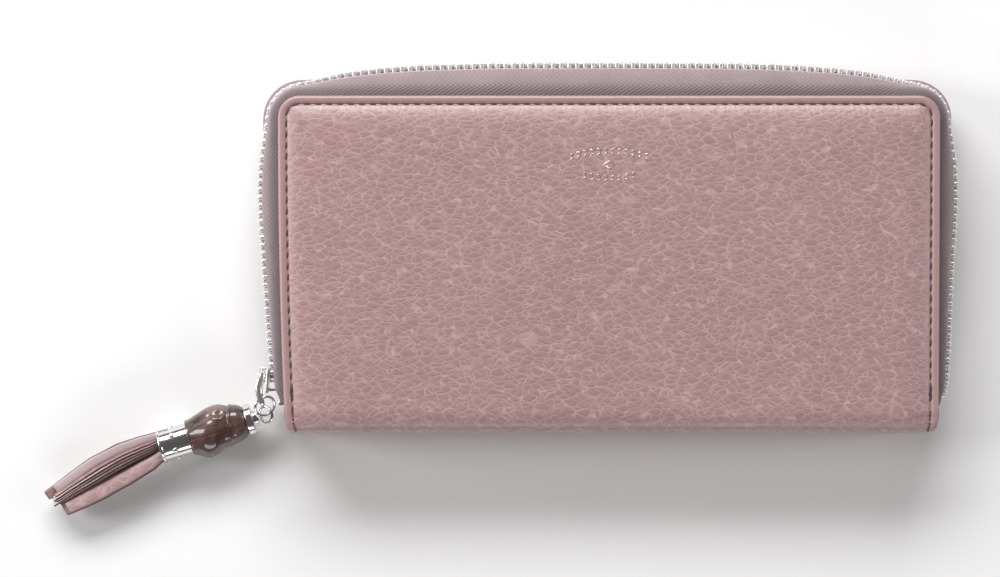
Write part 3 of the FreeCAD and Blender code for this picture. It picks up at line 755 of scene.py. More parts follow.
def cover_stitches(name, z, up, node, body):
    rng = random.Random(3)
    places = []
    for x, y, heading in border_line(PITCH):
        turn = heading - 0.17 * up + rng.uniform(-0.04, 0.04)
        ax = np.array([math.cos(turn), math.sin(turn), 0])
        az = np.array([0, 0, up])
        places.append(frame_at((lean_x(x, y), y, z), ax, np.cross(az, ax), az))
    for side in (-1, 1):
        for k in range(3):
            y = -34.2 - 1.05 * k
            x = side * (HALF_W - INSET) + 0.22 * (-1) ** k
            ax = np.array([0.12 * side, 0.99, 0])
            places.append(frame_at((lean_x(x, y), y, z + 0.12 * up), ax, np.cross((0, 0, up), ax),
                                   np.array([0, 0, up])))
        for k in range(6):
            (y, zz), (ny, nz), level, draw = fold_frame(0.12 + 0.2 * k, up)
            h = level * (0.2 + level_height(INSET, 0.4) + STITCH_DEPTH) - STITCH_DEPTH
            y, zz = y + ny * h, zz + nz * h
            ax = np.array([0.1, -up * nz, up * ny])
            ax /= np.linalg.norm(ax)
            az = np.array([0, ny, nz])
            x = side * (HALF_W - INSET - draw)
            scale = np.diag([0.46, 0.7, 0.7, 1])
            places.append(frame_at((lean_x(x, y), y, zz), ax, np.cross(az, ax), az) @ scale)
    thread = copies(name, STITCH, places, [THREAD])
    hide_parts(node)
    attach(thread, body)


cover_stitches("stitches_front", THICK - STITCH_DEPTH, 1, "front_stitching", "front")
cover_stitches("stitches_back", STITCH_DEPTH, -1, "back_stitching", "back")

# ---------------------------------------------------------------- main zip
SIDE_BULGE = [(-37.5, 0.9), (-34.0, 1.6), (12.0, 4.9), (20.0, 5.2), (29.0, 4.9), (36.0, 4.3), (40.0, 4.1)]
TOP_BULGE = [(0.0, 8.7), (30.0, 8.6), (50.0, 8.1), (62.0, 7.3), (72.0, 6.2), (80.0, 4.9), (84.5, 4.1)]


def zip_path(step=0.7):
    """Fine points of the cover's edge: (x, y, nx, ny, bulge, corner weight)."""
    r = CORNER
    pts = []
    y = -38.5
    while y < HALF_H - r:
        pts.append((-HALF_W, y, -1.0, 0.0, lerp_table(SIDE_BULGE, y)))
        y += step
    for i in range(14):
        a = math.pi - math.pi / 2 * i / 14
        n = (math.cos(a), math.sin(a))
        pts.append((-HALF_W + r + r * n[0], HALF_H - r + r * n[1], n[0], n[1], 4.1))
    x = -HALF_W + r
    while x < 0:
        pts.append((x, HALF_H, 0.0, 1.0, lerp_table(TOP_BULGE, abs(x))))
        x += step
    pts += [(-x, y, -nx, ny, b) for x, y, nx, ny, b in reversed(pts)]
    arr = np.array(pts)
    for row in arr:
        row[4] += abs(lean_x(row[0], row[1]) - row[0]) * row[2] ** 2
        if row[0] > 0:
            row[4] += 0.85 * row[2] ** 2 * float(smooth(-39.5, -34, row[1]) * (1 - smooth(-30, 5, row[1])))
    kernel = np.hanning(17)
    kernel /= kernel.sum()
    for col in (2, 3, 4):
        padded = np.r_[[arr[0, col]] * 8, arr[:, col], [arr[-1, col]] * 8]
        arr[:, col] = np.convolve(padded, kernel, mode="valid")
    length = np.hypot(arr[:, 2], arr[:, 3])
    arr[:, 2] /= length
    arr[:, 3] /= length
    corner_at = np.array([[-(HALF_W - 2), HALF_H - 2], [HALF_W - 2, HALF_H - 2]])
    near = np.min(np.linalg.norm(arr[:, None, :2] - corner_at[None], axis=2), axis=1)
    weight = np.exp(-(near / 11.0) ** 2)
    return np.c_[arr, weight]


PATH = zip_path()


def bezier_profile(points, count):
    """Smooth Catmull-Rom line through (offset, z) points."""
    pts = np.asarray(points, float)
    pts = np.vstack([2 * pts[0] - pts[1], pts, 2 * pts[-1] - pts[-2]])
    out = []
    spans = len(pts) - 3
    for i in range(count):
        t = i / (count - 1) * spans
        k = min(int(t), spans - 1)
        u = t - k
        a, b, c, d = pts[k:k + 4]
        out.append(0.5 * ((2 * b) + (-a + c) * u + (2 * a - 5 * b + 4 * c - d) * u * u
                          + (-a + 3 * b - 3 * c + d) * u ** 3))
    return np.array(out)


def zip_offsets(row, front):
    """Offsets from the cover's edge at one path point: teeth line, and edge or belly of a tape half.
    Round the top corners the teeth dip inwards and the lower half of the tape swells out past them."""
    b, w = row[4], row[5]
    line = b - 1.4 * w
    reach = line - 1.15 + 0.9 * w + 0.4 * abs(row[2]) * (1 - w)
    return line, (reach if front else b + 0.8 * w)


def tape(name, front, node, body):
    rows = []
    uvs = []
    walked = 0.0
    last = None
    for row in PATH:
        x, y, nx, ny = row[:4]
        line_off, reach = zip_offsets(row, front)
        w = row[5]
        if front:
            profile = [(-2.6, 22.3), (-0.2, 22.15), (0.32 * reach + 0.6, 21.3),
                       (0.66 * reach + 0.45, 19.6), (0.9 * reach + 0.1, 17.3),
                       (reach, 15.1 + 1.2 * w)]
        else:
            profile = [(-2.6, 22.3), (-0.2, 22.15), (0.34 * reach + 0.6, 21.3), (0.72 * reach + 0.3, 19.0),
                       ((0.93 + 0.07 * w) * reach, 16.3), (line_off - 0.5 + 1.4 * w, 14.3 - 0.9 * w)]
        line = bezier_profile(profile, 15)
        end = min(1.0, max(0.0, (y + 38.5) / 4.0))
        here = (lean_x(x, y), y)
        if last is not None:
            walked += math.hypot(here[0] - last[0], here[1] - last[1])
        last = here
        across = 0.0
        points = []
        pairs = []
        for i, (off, z) in enumerate(line):
            t = i / 14
            ripple = 0.13 * math.sin(math.pi * t) * wobble(walked, t * 4, 5.0, 4 if front else 9)
            off = off * (0.35 + 0.65 * end) if off > 0 else off
            off += ripple
            if i:
                across += math.hypot(off - line[i - 1][0], z - line[i - 1][1])
            points.append((here[0] + nx * off, here[1] + ny * off, z if front else THICK - z))
            pairs.append((walked * MM, across * MM))
        rows.append(points)
        uvs.append(pairs)
    points = np.array(rows)
    cloth = shell(name, points, 0.5, [TAPE], np.array(uvs))
    edge = points[:, -1] + np.array([0, 0, 0.25 if front else -0.25])
    # the tape's rolled edge, in the paler cord colour that paints its highlight
    cord = tube(name + "_cord", edge, 0.5, [TAPE_CORD_HIGHLIGHT], 8)
    cloth = joined(name, [cloth, cord])
    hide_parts(node)
    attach(cloth, body)
    return cloth


tape("zip_tape_front", True, "front_zip_tape", "front")
tape("zip_tape_back", False, "back_zip_tape", "back")

TEETH_PITCH = 2.2
TEETH_Z = 13.9       # where the front row sits on its tape; the back row mirrors it
TOOTH = rounded_box([(-1.05, 0.95, -0.62, 0.62, -0.45, 0.95),
                     (-0.8, 0.95, -0.42, 0.42, 0.7, 2.25)], 0.42, 4)
COIN_TOOTH = rounded_box([(-0.75, 0.75, -0.55, 0.55, -0.5, 0.7), (-0.7, 0.7, -0.4, 0.4, 0.5, 2.0)], 0.16)


def teeth_line():
    line = []
    for row in PATH:
        off, _ = zip_offsets(row, True)
        x, y = lean_x(row[0], row[1]), row[1]
        line.append((x + row[2] * off, y + row[3] * off, row[5]))
    return np.array(line)


def teeth(name, front, node, body):
    line = teeth_line()
    steps = np.r_[0, np.cumsum(np.linalg.norm(np.diff(line[:, :2], axis=0), axis=1))]
    places = []
    at = 2.0 if front else 3.1
    while at < steps[-1] - 2.0:
        x, y, w = (np.interp(at, steps, line[:, k]) for k in range(3))
        x2, y2 = (np.interp(at + 0.4, steps, line[:, k]) for k in range(2))
        if not (x < 0 and y < -33.0):
            t = np.array([x2 - x, y2 - y, 0.0])
            t /= np.linalg.norm(t)
            normal = np.array([-t[1], t[0], 0.0])
            lean = 0.12 * math.sin(at * 1.7)
            inward = np.array([0, 0, -1.0 if front else 1.0])
            out = normal + inward * lean * 0.3
            out /= np.linalg.norm(out)
            z = (TEETH_Z if front else THICK - TEETH_Z) + 0.9 * w
            places.append(frame_at((x + normal[0] * 0.1, y + normal[1] * 0.1, z), out, t, inward))
        at += TEETH_PITCH
    row = copies(name, TOOTH, places, [TEETH])
    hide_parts(node)
    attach(row, body)


teeth("zip_teeth_front", True, "front_zip_teeth", "front")
teeth("zip_teeth_back", False, "back_zip_teeth", "back")


# ---------------------------------------------------------------- CAD metal that keeps its shape
def dress(node, material, bevel=0.0):
    """Give a CAD piece its material and soft edges."""
    obj = nodes[node]
    if not obj.data.materials:
        obj.data.materials.append(material)
    for slot in obj.material_slots:
        slot.material = material
    if bevel:
        m = obj.modifiers.new("soft_edges", "BEVEL")
        m.width = bevel * MM
        m.segments = 3
        m.limit_method = "ANGLE"
        m.angle_limit = math.radians(35)


for n in ("jump_ring_1", "jump_ring_2", "cap_eye", "core_rod"):
    dress(n, CHROME)
for n in ("coin_slider", "coin_pull"):
    dress(n, CHROME, 0.2)
for n in ("front_board", "back_board"):
    dress(n, BOARD, 0.1)


def end_stops():
    """Small clenched stops at both ends of the teeth."""
    stop = rounded_box([(-0.5, 0.5, -0.75, 0.75, -1.9, 1.9)], 0.38, 3)
    places = [frame_at((side * 91.2 + 0.75 * (side < 0), -38.4, MID), X_AXIS, Y_AXIS, Z_AXIS)
              for side in (-1, 1)]
    made = copies("zip_stops", stop, places, [SATIN])
    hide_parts("zip_end_stops")
    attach(made, "back")


def slider():
    """Slider with rounded plates that hug the teeth, and the eye that holds the bail."""
    plates, faces = rounded_box([(-94.35, -93.75, -35.7, -28.9, 8.4, 16.6),
                                 (-90.95, -90.35, -35.7, -28.9, 8.9, 16.1),
                                 (-93.9, -90.8, -35.2, -34.2, 12.0, 13.0)], 0.28, 3)
    plates = [(x + 0.16 * max(0.0, y + 33.0) * (x < -92.5) * (1 - abs(z - MID) / 9), y, z)
              for x, y, z in plates]
    body = build("slider_plates", plates, faces, [SATIN], [(v[0] * MM, v[1] * MM) for v in plates])
    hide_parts("slider_body")
    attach(body, "slider")
    arch = [(-94.2, -28.9), (-95.3, -28.75), (-96.1, -29.5), (-96.35, -30.6), (-96.1, -31.7),
            (-95.3, -32.35), (-94.2, -32.3)]
    line = bezier_profile(arch, 40)
    eye = tube("slider_eye", [(x, y, MID) for x, y in line], 0.42, [SATIN], 14, 1.7)
    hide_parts("slider_lug")
    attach(eye, "slider")


def bail():
    """Bowed bail: two rounded rails joined at the slider's eye and at the ring."""
    bow = [(0.0, 0.35), (-0.15, -0.8), (-0.75, -2.3), (-1.1, -4.2), (-0.75, -6.6), (0.05, -8.7)]
    line = bezier_profile(bow, 60)
    t = np.linspace(0, 1, 60)
    radius = 0.55 + 0.42 * np.sin(math.pi * np.clip(t * 1.05, 0, 1)) ** 0.6
    parts = []
    for side in (-1, 1):
        parts.append(tube("rail", [(-95.3 + x, -30.2 + y, MID + side * 1.55) for x, y in line], radius,
                          [SATIN], 20, 0.55))
    for x, y in (line[0], line[-1]):
        parts.append(tube("bar", [(-95.3 + x, -30.2 + y, MID + z) for z in np.linspace(-1.9, 1.9, 12)],
                          0.5, [SATIN], 18))
    made = joined("bail_bow", parts)
    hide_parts("pull_bail")
    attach(made, "bail")


end_stops()
slider()
bail()

# ---------------------------------------------------------------- the charm
TURN = math.radians(197)
U = np.array([math.cos(TURN), math.sin(TURN), 0.0])
S = np.array([-math.sin(TURN), math.cos(TURN), 0.0])
ORIGIN = np.array([-95.6, -42.0, 6.95])


def charm(points):
    """Points (along, side, up) of the charm, in mm, in the wallet's frame."""
    p = np.asarray(points, float)
    return ORIGIN + p[..., :1] * U + p[..., 1:2] * S + p[..., 2:3] * Z_AXIS


def turned(name, profile, material, node, sides=72, count=90, shape=None):
    """Smooth turned piece from (along, radius) points, closed at both ends."""
    line = bezier_profile(profile, count)
    verts = []
    uvs = []
    for s, r in line:
        for k in range(sides):
            a = 2 * math.pi * k / sides
            ss, rr = shape(s, r, a) if shape else (s, r)
            verts.append((ss, rr * math.cos(a), rr * math.sin(a)))
            uvs.append((s * MM, a * 5.5 * MM))
    obj = build(name, charm(verts), ring_faces(count, sides, True), [material], uvs)
    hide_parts(node)
    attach(obj, "charm")
    return obj


turned("charm_cap", [(1.3, 1.2), (1.35, 1.9), (1.55, 2.35), (2.4, 2.4), (2.6, 2.55), (2.75, 3.9),
                     (2.95, 4.35), (3.4, 4.5), (4.4, 4.5), (4.7, 4.4), (4.85, 4.0)],
       CHROME, "end_cap", count=60)

BEAD = [(4.7, 2.8), (4.85, 3.5), (5.3, 4.15), (6.2, 4.75), (7.4, 5.2), (8.8, 5.5), (9.35, 5.8),
        (9.7, 5.85), (10.0, 5.6), (10.7, 5.7), (11.8, 6.15), (13.2, 6.7), (14.6, 6.85), (16.2, 6.7),
        (17.8, 6.15), (19.4, 5.5), (20.8, 5.05), (21.35, 4.95), (21.45, 4.4)]


def bead_shape(s, r, a):
    """The swelling runs askew round the axis, with flutes, a leaf scar and slow irregularities."""
    mid = math.sin(math.pi * min(max((s - 4.7) / 16.7, 0), 1))
    ss = s + 0.3 * mid * r * math.cos(a)
    rr = r * (1 + 0.018 * mid * math.sin(3 * a + 0.8) + 0.012 * mid * math.sin(5 * a + s * 0.4))
    rr += 0.1 * mid * noise.noise(Vector((s * 0.5, math.cos(a) * 2, math.sin(a) * 2)))
    scar_a = math.radians(128)
    da = math.atan2(math.sin(a - scar_a), math.cos(a - scar_a)) * r
    ds = s - 12.6
    q = math.hypot(ds / 1.9, da / 1.45)
    rr += 0.26 * math.exp(-((q - 1) / 0.34) ** 2) - 0.3 * math.exp(-(q / 0.75) ** 2)
    groove = math.exp(-(da / 1.1) ** 2) * smooth(13.5, 15.0, s) * (1 - smooth(19, 21, s))
    rr -= 0.4 * groove
    return ss, rr


turned("charm_bead", BEAD, BAMBOO, "bamboo_bead", sides=120, count=150, shape=bead_shape)

turned("charm_ferrule", [(21.1, 4.1), (21.2, 4.35), (21.5, 4.4), (22.5, 4.38), (25.5, 4.36),
                         (28.6, 4.36), (28.9, 4.4), (29.05, 4.68), (29.4, 4.82), (29.75, 4.68),
                         (29.95, 4.3), (29.9, 3.8), (28.5, 3.7), (26.0, 3.65), (25.5, 3.0)],
       CHROME, "ferrule", count=120)


def pin_template():
    """Low round pin head."""
    verts, faces = [(0, 0, 0.5)], []
    rings, sides = 6, 18
    for i in range(1, rings + 1):
        a = math.pi / 2 * i / rings
        for k in range(sides):
            b = 2 * math.pi * k / sides
            verts.append((0.82 * math.sin(a) * math.cos(b), 0.82 * math.sin(a) * math.sin(b),
                          0.5 * math.cos(a)))
    for k in range(sides):
        faces.append((0, 1 + k, 1 + (k + 1) % sides))
    for i in range(rings - 1):
        for k in range(sides):
            a, b = 1 + i * sides + k, 1 + i * sides + (k + 1) % sides
            faces.append((a, a + sides, b + sides, b))
    faces.append(tuple(1 + (rings - 1) * sides + k for k in range(sides))[::-1])
    return verts, faces


pin_places = []
for i in range(6):
    a = math.radians(90 + 30 + 60 * i)
    out = S * math.cos(a) + Z_AXIS * math.sin(a)
    spot = charm([[25.7, 4.33 * math.cos(a), 4.33 * math.sin(a)]])[0]
    pin_places.append(frame_at(spot, U, np.cross(out, U), out))
pins = copies("charm_pins", pin_template(), pin_places, [CHROME])
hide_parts("ferrule_pins")
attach(pins, "charm")


# how far the strips stand apart along the tassel
SPREAD = [(0, 1.0), (0.12, 1.25), (0.35, 1.48), (0.6, 1.5), (0.82, 1.33), (1.0, 1.15), (1.2, 1.05)]
STRIP_START = 26.6   # inside the ferrule
FERRULE_END = 30.0
FREE_LENGTH = 31.0   # over which the tassel opens and settles
BOW = 5.9            # how far the tassel bends to one side


def strip(side, up, width, thick, tilt, length, faces, seed=0):
    """A leather strip of the tassel. side and up place its middle in the ferrule, tilt turns it about the
    axis in degrees; it bows sideways, opens out in the middle and settles towards the table."""
    rows = []
    uvs = []
    count = 46
    across = 9
    for i in range(count):
        s = STRIP_START + length * i / (count - 1)
        free = max(0.0, (s - FERRULE_END) / FREE_LENGTH)
        wide_open = lerp_table(SPREAD, free)
        wave = 0.3 * free * noise.noise(Vector((s * 0.11, seed * 3.1, 0)))
        y = side * wide_open + 0.35 * float(smooth(0, 0.1, free)) + BOW * free ** 1.35 + wave
        z = up * (1 + 0.25 * (wide_open - 1)) - 1.9 * free ** 1.5
        z += 0.8 * math.sin(math.pi * min(free, 1)) + 0.4 * wave
        slope = BOW * 1.35 * max(free, 1e-6) ** 0.35 / FREE_LENGTH
        a = math.radians(tilt * (1 - 0.25 * min(free, 1)) + 4 * noise.noise(Vector((s * 0.08, seed, 4.0))))
        grow = 0.72 + 0.5 * (wide_open - 1) / 0.5 * 0.56
        wide = np.array([-math.sin(slope) * math.cos(a), math.cos(slope) * math.cos(a), math.sin(a)])
        normal = np.array([math.sin(slope) * math.sin(a), -math.cos(slope) * math.sin(a), math.cos(a)])
        row = []
        pairs = []
        for k in range(across):
            u = (k / (across - 1) - 0.5) * 2
            row.append(np.array([s, y, z]) + wide * u * width / 2 * grow - normal * 0.2 * u * u)
            pairs.append(((s + seed * 9) * MM, (u * width / 2 + seed * 5) * MM))
        rows.append(row)
        uvs.append(pairs)
    points = charm(np.array(rows))
    points[..., 2] = np.maximum(points[..., 2], thick / 2 + 0.05)
    return shell("strip", points, thick, faces, np.array(uvs), rim_index=1, rounded=0.12)


PALE = [TASSEL_PALE, EDGE]
GRAIN = [TASSEL_GRAIN, EDGE]
groups = {
    "tassel_strips_upper_left": [(-3.0, 1.5, 3.0, 0.95, -26, 34.6, PALE, 1),
                                 (-2.95, 0.5, 3.2, 0.85, -22, 37.6, GRAIN, 2)],
    "tassel_strips_lower_left": [(-2.7, -0.5, 3.4, 0.85, -14, 36.9, GRAIN, 3),
                                 (-2.2, -1.5, 3.6, 0.85, -6, 35.8, GRAIN, 4),
                                 (-0.6, -2.4, 3.8, 0.8, 0, 35.2, GRAIN, 12)],
    "tassel_strips_upper_right": [(2.3, 1.3, 4.3, 0.95, 17, 33.0, GRAIN, 5),
                                  (2.45, 0.3, 4.4, 0.85, 14, 33.7, GRAIN, 6)],
    "tassel_strips_lower_right": [(2.4, -0.7, 4.3, 0.85, 9, 34.2, GRAIN, 7),
                                  (2.0, -1.7, 4.2, 0.85, 4, 33.4, GRAIN, 8)],
    "tassel_strip_middle": [(-2.0, 0.75, 3.4, 0.7, 84, 35.4, GRAIN, 9),
                            (-1.45, 0.7, 3.8, 0.65, 86, 36.0, PALE, 10),
                            (-0.9, 0.6, 3.9, 0.65, 86, 35.2, GRAIN, 11),
                            (-0.35, 0.5, 3.9, 0.65, 90, 36.4, PALE, 13),
                            (0.2, 0.35, 3.8, 0.65, 95, 34.6, GRAIN, 14)],
}
for node, strips in groups.items():
    made = joined("soft_" + node, [strip(*s) for s in strips])
    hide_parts(node)
    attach(made, "charm")


# ---------------------------------------------------------------- inside of the wallet
def sheet_piece(name, x0, x1, y0, y1, z, thick, materials, seed=0, corner=2.0, ripple=0.05):
    """Flat soft panel with rounded corners and small unevenness."""

    def shares(size, least):
        """Even steps over a side between its corners, with a close row at each edge."""
        inside = np.linspace(corner / size, 1 - corner / size, max(least, int(size / 3)))
        return np.unique(np.r_[0, 0.4 / size, inside, 1 - 0.4 / size, 1])

    us, vs = shares(x1 - x0, 10), shares(y1 - y0, 8)
    rows = []
    uvs = []
    cx, cy = (x0 + x1) / 2, (y0 + y1) / 2
    hx, hy = (x1 - x0) / 2, (y1 - y0) / 2
    for v in vs:
        row = []
        pairs = []
        for u in us:
            x, y = x0 + (x1 - x0) * u, y0 + (y1 - y0) * v
            px, py = x, y
            ax, ay = corner - (hx - abs(x - cx)), corner - (hy - abs(y - cy))
            if ax > 0 and ay > 0:
                rho, phi = round_corner(ax, ay)
                px = cx + math.copysign(hx - corner + rho * math.cos(phi), x - cx)
                py = cy + math.copysign(hy - corner + rho * math.sin(phi), y - cy)
            row.append((px, py, z + ripple * wobble(x, y, 14, seed)))
            pairs.append((x * MM, y * MM))
        rows.append(row)
        uvs.append(pairs)
    return shell(name, np.array(rows), thick, materials, np.array(uvs), rim_index=len(materials) - 1,
                 rounded=0.3)


def run_of_stitches(name, a, b, up, pitch=2.4, scale=0.6):
    """Straight row of small stitches from a to b."""
    a, b = np.array(a, float), np.array(b, float)
    length = np.linalg.norm(b - a)
    t = (b - a) / length
    up = np.array(up, float)
    size = np.diag([scale, scale, scale, 1])
    places = [frame_at(a + t * (i + 0.5) * pitch, t, np.cross(up, t), up) @ size
              for i in range(int(length / pitch))]
    return copies(name, STITCH, places, [THREAD_INNER])


for side, body, flip in (("front", "front", 1), ("back", "back", -1)):
    def level(z):
        """Height measured inwards from this cover, turned into Z."""
        return z if flip > 0 else THICK - z

    lining = sheet_piece("soft_" + side + "_lining", -88.6, 88.4, -42.0, 44.6, level(21.95), 0.45,
                         [LINING], 3, corner=4.5, ripple=0.03)
    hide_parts(side + "_lining")
    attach(lining, body)
    for name, x0, x1 in (("left", -84.4, -0.5), ("right", 0.5, 84.4)):
        pieces = []
        for k in range(4):
            top = 34.0 - 11.0 * k
            z = level(21.45 - 0.5 * k)
            pieces.append(sheet_piece("slot", x0, x1, -41.0, top, z, 0.42, [INNER, LEATHER_EDGE], 20 + k,
                                      corner=1.5, ripple=0.02))
            pieces.append(run_of_stitches("row", (x0 + 1.2, top - 1.3, z - flip * 0.22),
                                          (x1 - 1.2, top - 1.3, z - flip * 0.22), (0, 0, -flip)))
        for x in (x0 + 1.2, x1 - 1.2):
            for k in range(4):
                low = 34.0 - 11.0 * (k + 1) if k < 3 else -40.0
                z = level(21.45 - 0.5 * k) - flip * 0.22
                pieces.append(run_of_stitches("col", (x, low + 0.5, z), (x, 34.0 - 11.0 * k - 2.5, z),
                                              (0, 0, -flip)))
        slots = joined("soft_" + side + "_slots_" + name, pieces)
        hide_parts(side + "_card_slots_" + name)
        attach(slots, body)


def gusset(name, side, front, node):
    """Thin leather folded inwards between a cover and the coin pocket."""
    profile = [(88.2, 21.6), (88.1, 20.6), (87.4, 19.75), (85.0, 19.42), (76.0, 19.2), (68.2, 19.0),
               (67.1, 18.5), (68.4, 18.0), (76.0, 17.9), (84.0, 17.85), (85.6, 17.65), (86.1, 17.42)]
    line = bezier_profile(profile, 40)
    rows = []
    uvs = []
    for i in range(34):
        y = -40.8 + 78.0 * i / 33
        reach = 1 - 0.55 * smooth(-20, -41, y)
        row = []
        pairs = []
        run = 0.0
        for k, (x, z) in enumerate(line):
            x = 86.5 + (x - 86.5) * reach if x < 86.5 else x
            if k:
                run += math.hypot(x - line[k - 1][0], z - line[k - 1][1])
            x = lean_x(side * x, y) + 0.1 * wobble(y, k, 9, 6)
            row.append((x, y, z if front else THICK - z))
            pairs.append((y * MM, run * MM))
        rows.append(row)
        uvs.append(pairs)
    obj = shell(name, np.array(rows), 0.3, [GUSSET, LEATHER_EDGE], np.array(uvs), rim_index=1)
    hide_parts(node)
    if front:
        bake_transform(obj)
    else:
        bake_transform(obj)


for side, word in ((-1, "left"), (1, "right")):
    gusset("soft_front_gusset_" + word, side, True, "front_gusset_" + word)
    gusset("soft_back_gusset_" + word, side, False, "back_gusset_" + word)

spine_lining = sheet_piece("soft_spine_lining", -86.0, 86.0, 5.8, 19.2, 0.0, 0.4, [LINING], 8, corner=1.0,
                           ripple=0.05)
spine_lining.data.transform(Matrix(((1, 0, 0, 0), (0, 0, 1, -0.0446), (0, 1, 0, 0), (0, 0, 0, 1))))
spine_lining.data.flip_normals()
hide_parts("spine_lining")
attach(spine_lining, "back")

for side, z, face in (("front", 16.6, 1), ("back", 8.4, -1)):
    body = [sheet_piece("panel", -85.0, 85.0, -41.0, 40.0, z, 0.7, [INNER, LEATHER_EDGE], 31 + face,
                        corner=3.0, ripple=0.1)]
    for y in (37.6, -39.0):
        body.append(run_of_stitches("row", (-83, y, z + face * 0.36), (83, y, z + face * 0.36),
                                    (0, 0, face)))
    for x in (-83.4, 83.4):
        body.append(run_of_stitches("col", (x, -38.5, z + face * 0.36), (x, 37.0, z + face * 0.36),
                                    (0, 0, face)))
    panel = joined("soft_coin_pocket_" + side, body)
    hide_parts("coin_pocket_" + side + "_panel")
    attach(panel, "coin_pocket")
    cloth = sheet_piece("soft_coin_tape_" + side, -84, 84, 13.7 if face > 0 else 8.9,
                        16.1 if face > 0 else 11.3, 0.0, 0.5, [TAPE_INNER], 40, corner=0.5, ripple=0.04)
    cloth.data.transform(Matrix(((1, 0, 0, 0), (0, 0, 1, 0.0389), (0, 1, 0, 0), (0, 0, 0, 1))))
    cloth.data.flip_normals()
    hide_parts("coin_zip_tape_" + side)
    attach(cloth, "coin_pocket")
    places = []
    for i in range(69):
        x = -75.6 + TEETH_PITCH * (i + (0.0 if face > 0 else 0.5))
        if x < 79:
            places.append(frame_at((x, 38.9, MID + face * 1.25), Y_AXIS, X_AXIS, -face * Z_AXIS))
    row = copies("coin_teeth_" + side, COIN_TOOTH, places, [TEETH])
    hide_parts("coin_zip_teeth_" + side)
    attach(row, "coin_pocket")


def pocket_edge():
    """Leather band that closes the coin pocket at its sides and bottom, with a soft inward fold."""
    rows = []
    uvs = []
    line = []
    for y in np.linspace(38.4, -39.4, 40):
        line.append((-84.5, y, 1, 0))
    for x in np.linspace(-83.0, 83.0, 60):
        line.append((x, -40.5, 0, 1))
    for y in np.linspace(-39.4, 38.4, 40):
        line.append((84.5, y, -1, 0))
    run = 0.0
    for i, (x, y, nx, ny) in enumerate(line):
        if i:
            run += math.hypot(x - line[i - 1][0], y - line[i - 1][1])
        row = []
        pairs = []
        for k in range(9):
            t = k / 8
            fold = 1.6 * (1 - abs(2 * t - 1)) ** 0.8 if nx else 0.2 * math.sin(math.pi * t)
            row.append((x + nx * fold, y + ny * fold, 8.8 + 7.4 * t))
            pairs.append((run * MM, 7.4 * t * MM))
        rows.append(row)
        uvs.append(pairs)
    obj = shell("soft_coin_pocket_edge", np.array(rows), 0.6, [GUSSET], np.array(uvs))
    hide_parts("coin_pocket_edge")
    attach(obj, "coin_pocket")


pocket_edge()


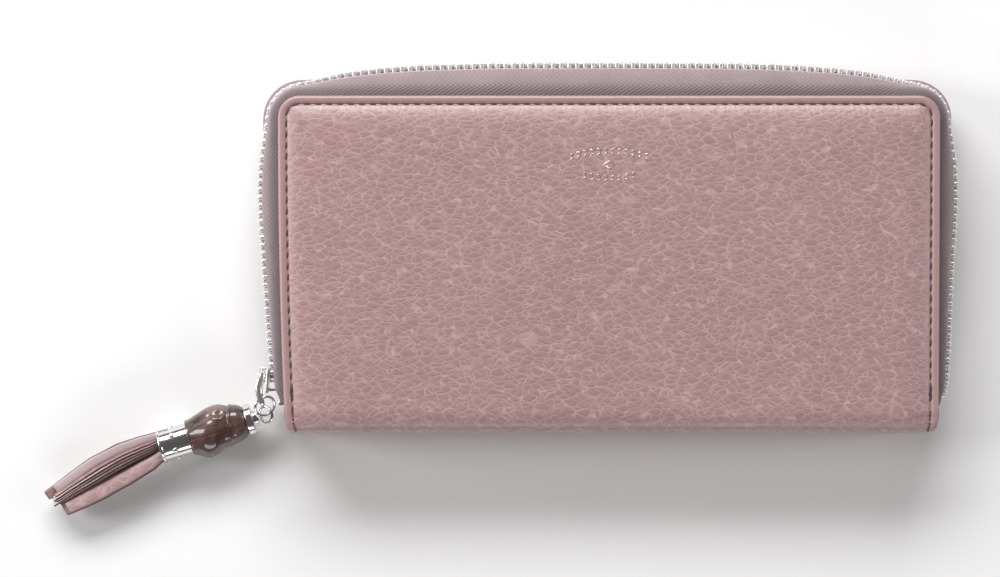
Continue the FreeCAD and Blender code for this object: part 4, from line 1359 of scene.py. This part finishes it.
# ---------------------------------------------------------------- generic foil ornament
def emblem():
    """A plain sprig: an open lozenge with small leaves to both sides."""
    verts = []
    faces = []

    def patch(outline, hole=None):
        base = len(verts)
        n = len(outline)
        verts.extend(outline)
        if hole:
            verts.extend(hole)
            faces.extend((base + i, base + (i + 1) % n, base + n + (i + 1) % n, base + n + i)
                         for i in range(n))
        else:
            faces.append(tuple(range(base, base + n)))

    def leaf(x, y, length, width, turn):
        ring = []
        for k in range(14):
            t = 2 * math.pi * k / 14
            u, v = length / 2 * math.cos(t), width / 2 * math.sin(t) * (1 - 0.35 * math.cos(t))
            ring.append((x + u * math.cos(turn) - v * math.sin(turn),
                         y + u * math.sin(turn) + v * math.cos(turn)))
        patch(ring)

    patch([(1.9, 27.0), (0, 28.3), (-1.9, 27.0), (0, 25.7)],
          [(1.2, 27.0), (0, 27.8), (-1.2, 27.0), (0, 26.2)])
    for side in (1, -1):
        for k in range(6):
            x, y = 1.0 + 1.85 * k, 30.6 - 0.055 * k * k
            turn = -0.13 * k if side > 0 else math.pi + 0.13 * k
            leaf(side * x, y + 0.62, 1.5, 0.55, turn + side * 0.6)
            leaf(side * x, y - 0.62, 1.5, 0.55, turn - side * 0.6)
        for k in range(4):
            x, y = 0.9 + 1.9 * k, 23.3 + 0.09 * k * k
            turn = 0.14 * k if side > 0 else math.pi - 0.14 * k
            leaf(side * x, y + 0.6, 1.4, 0.5, turn + side * 0.6)
            leaf(side * x, y - 0.6, 1.4, 0.5, turn - side * 0.6)
    hide.data.update()
    tree = BVHTree.FromObject(hide, bpy.context.evaluated_depsgraph_get())
    placed = []
    for x, y in verts:
        hit = tree.ray_cast(Vector((x * MM, y * MM, 0.05)), Vector((0, 0, -1)))
        placed.append((x, y, hit[0].z / MM + 0.015))
    obj = build("foil_ornament", placed, faces, [FOIL], [(v[0] * MM, v[1] * MM) for v in placed])
    m = obj.modifiers.new("thickness", "SOLIDIFY")
    m.thickness = 0.00006
    m.offset = 0
    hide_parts("front_emblem")
    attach(obj, "front")


emblem()

# ---------------------------------------------------------------- floor, light, camera
floor_mesh = bpy.data.meshes.new("floor")
floor_mesh.from_pydata([(-3, -3, -0.0002), (3, -3, -0.0002), (3, 3, -0.0002), (-3, 3, -0.0002)], [],
                       [(0, 1, 2, 3)])
floor = bpy.data.objects.new("floor", floor_mesh)
bpy.context.scene.collection.objects.link(floor)
ground = Shader("FloorPaper", Roughness=0.9)
paper = ground.mix(ground.noise(ground.place(), 3), (0.93, 0.93, 0.93), (0.95, 0.95, 0.95))
floor_mesh.materials.append(ground.done(paper))


def area(name, place, target, size, energy):
    data = bpy.data.lights.new(name, "AREA")
    data.shape = "RECTANGLE"
    data.size, data.size_y = size
    data.energy = energy
    obj = bpy.data.objects.new(name, data)
    obj.location = place
    obj.rotation_euler = (Vector(target) - Vector(place)).to_track_quat("-Z", "Y").to_euler()
    bpy.context.scene.collection.objects.link(obj)


area("key", (-0.25, 1.0, 0.75), (0, 0, 0), (1.3, 0.45), 20)
area("left", (-1.2, 0.15, 0.62), (0, 0, 0), (0.35, 0.9), 7.5)
area("right", (1.2, 0.0, 0.62), (0, 0, 0), (0.35, 0.8), 3.2)
area("front", (0.0, -1.2, 0.55), (0, 0, 0), (1.2, 0.3), 4.5)

world = bpy.data.worlds.new("studio")
bpy.context.scene.world = world
world.use_nodes = True
world.node_tree.nodes["Background"].inputs[0].default_value = (1, 0.93, 0.91, 1)
world.node_tree.nodes["Background"].inputs[1].default_value = 0.1

camera_data = bpy.data.cameras.new("camera")
camera_data.lens = 120
camera_data.sensor_width = 36
camera_data.clip_end = 20
camera = bpy.data.objects.new("camera", camera_data)
camera.location = (-0.02976, -0.00676, 0.91 + 0.0235)
bpy.context.scene.collection.objects.link(camera)
bpy.context.scene.camera = camera
bpy.context.scene.view_settings.view_transform = "Standard"
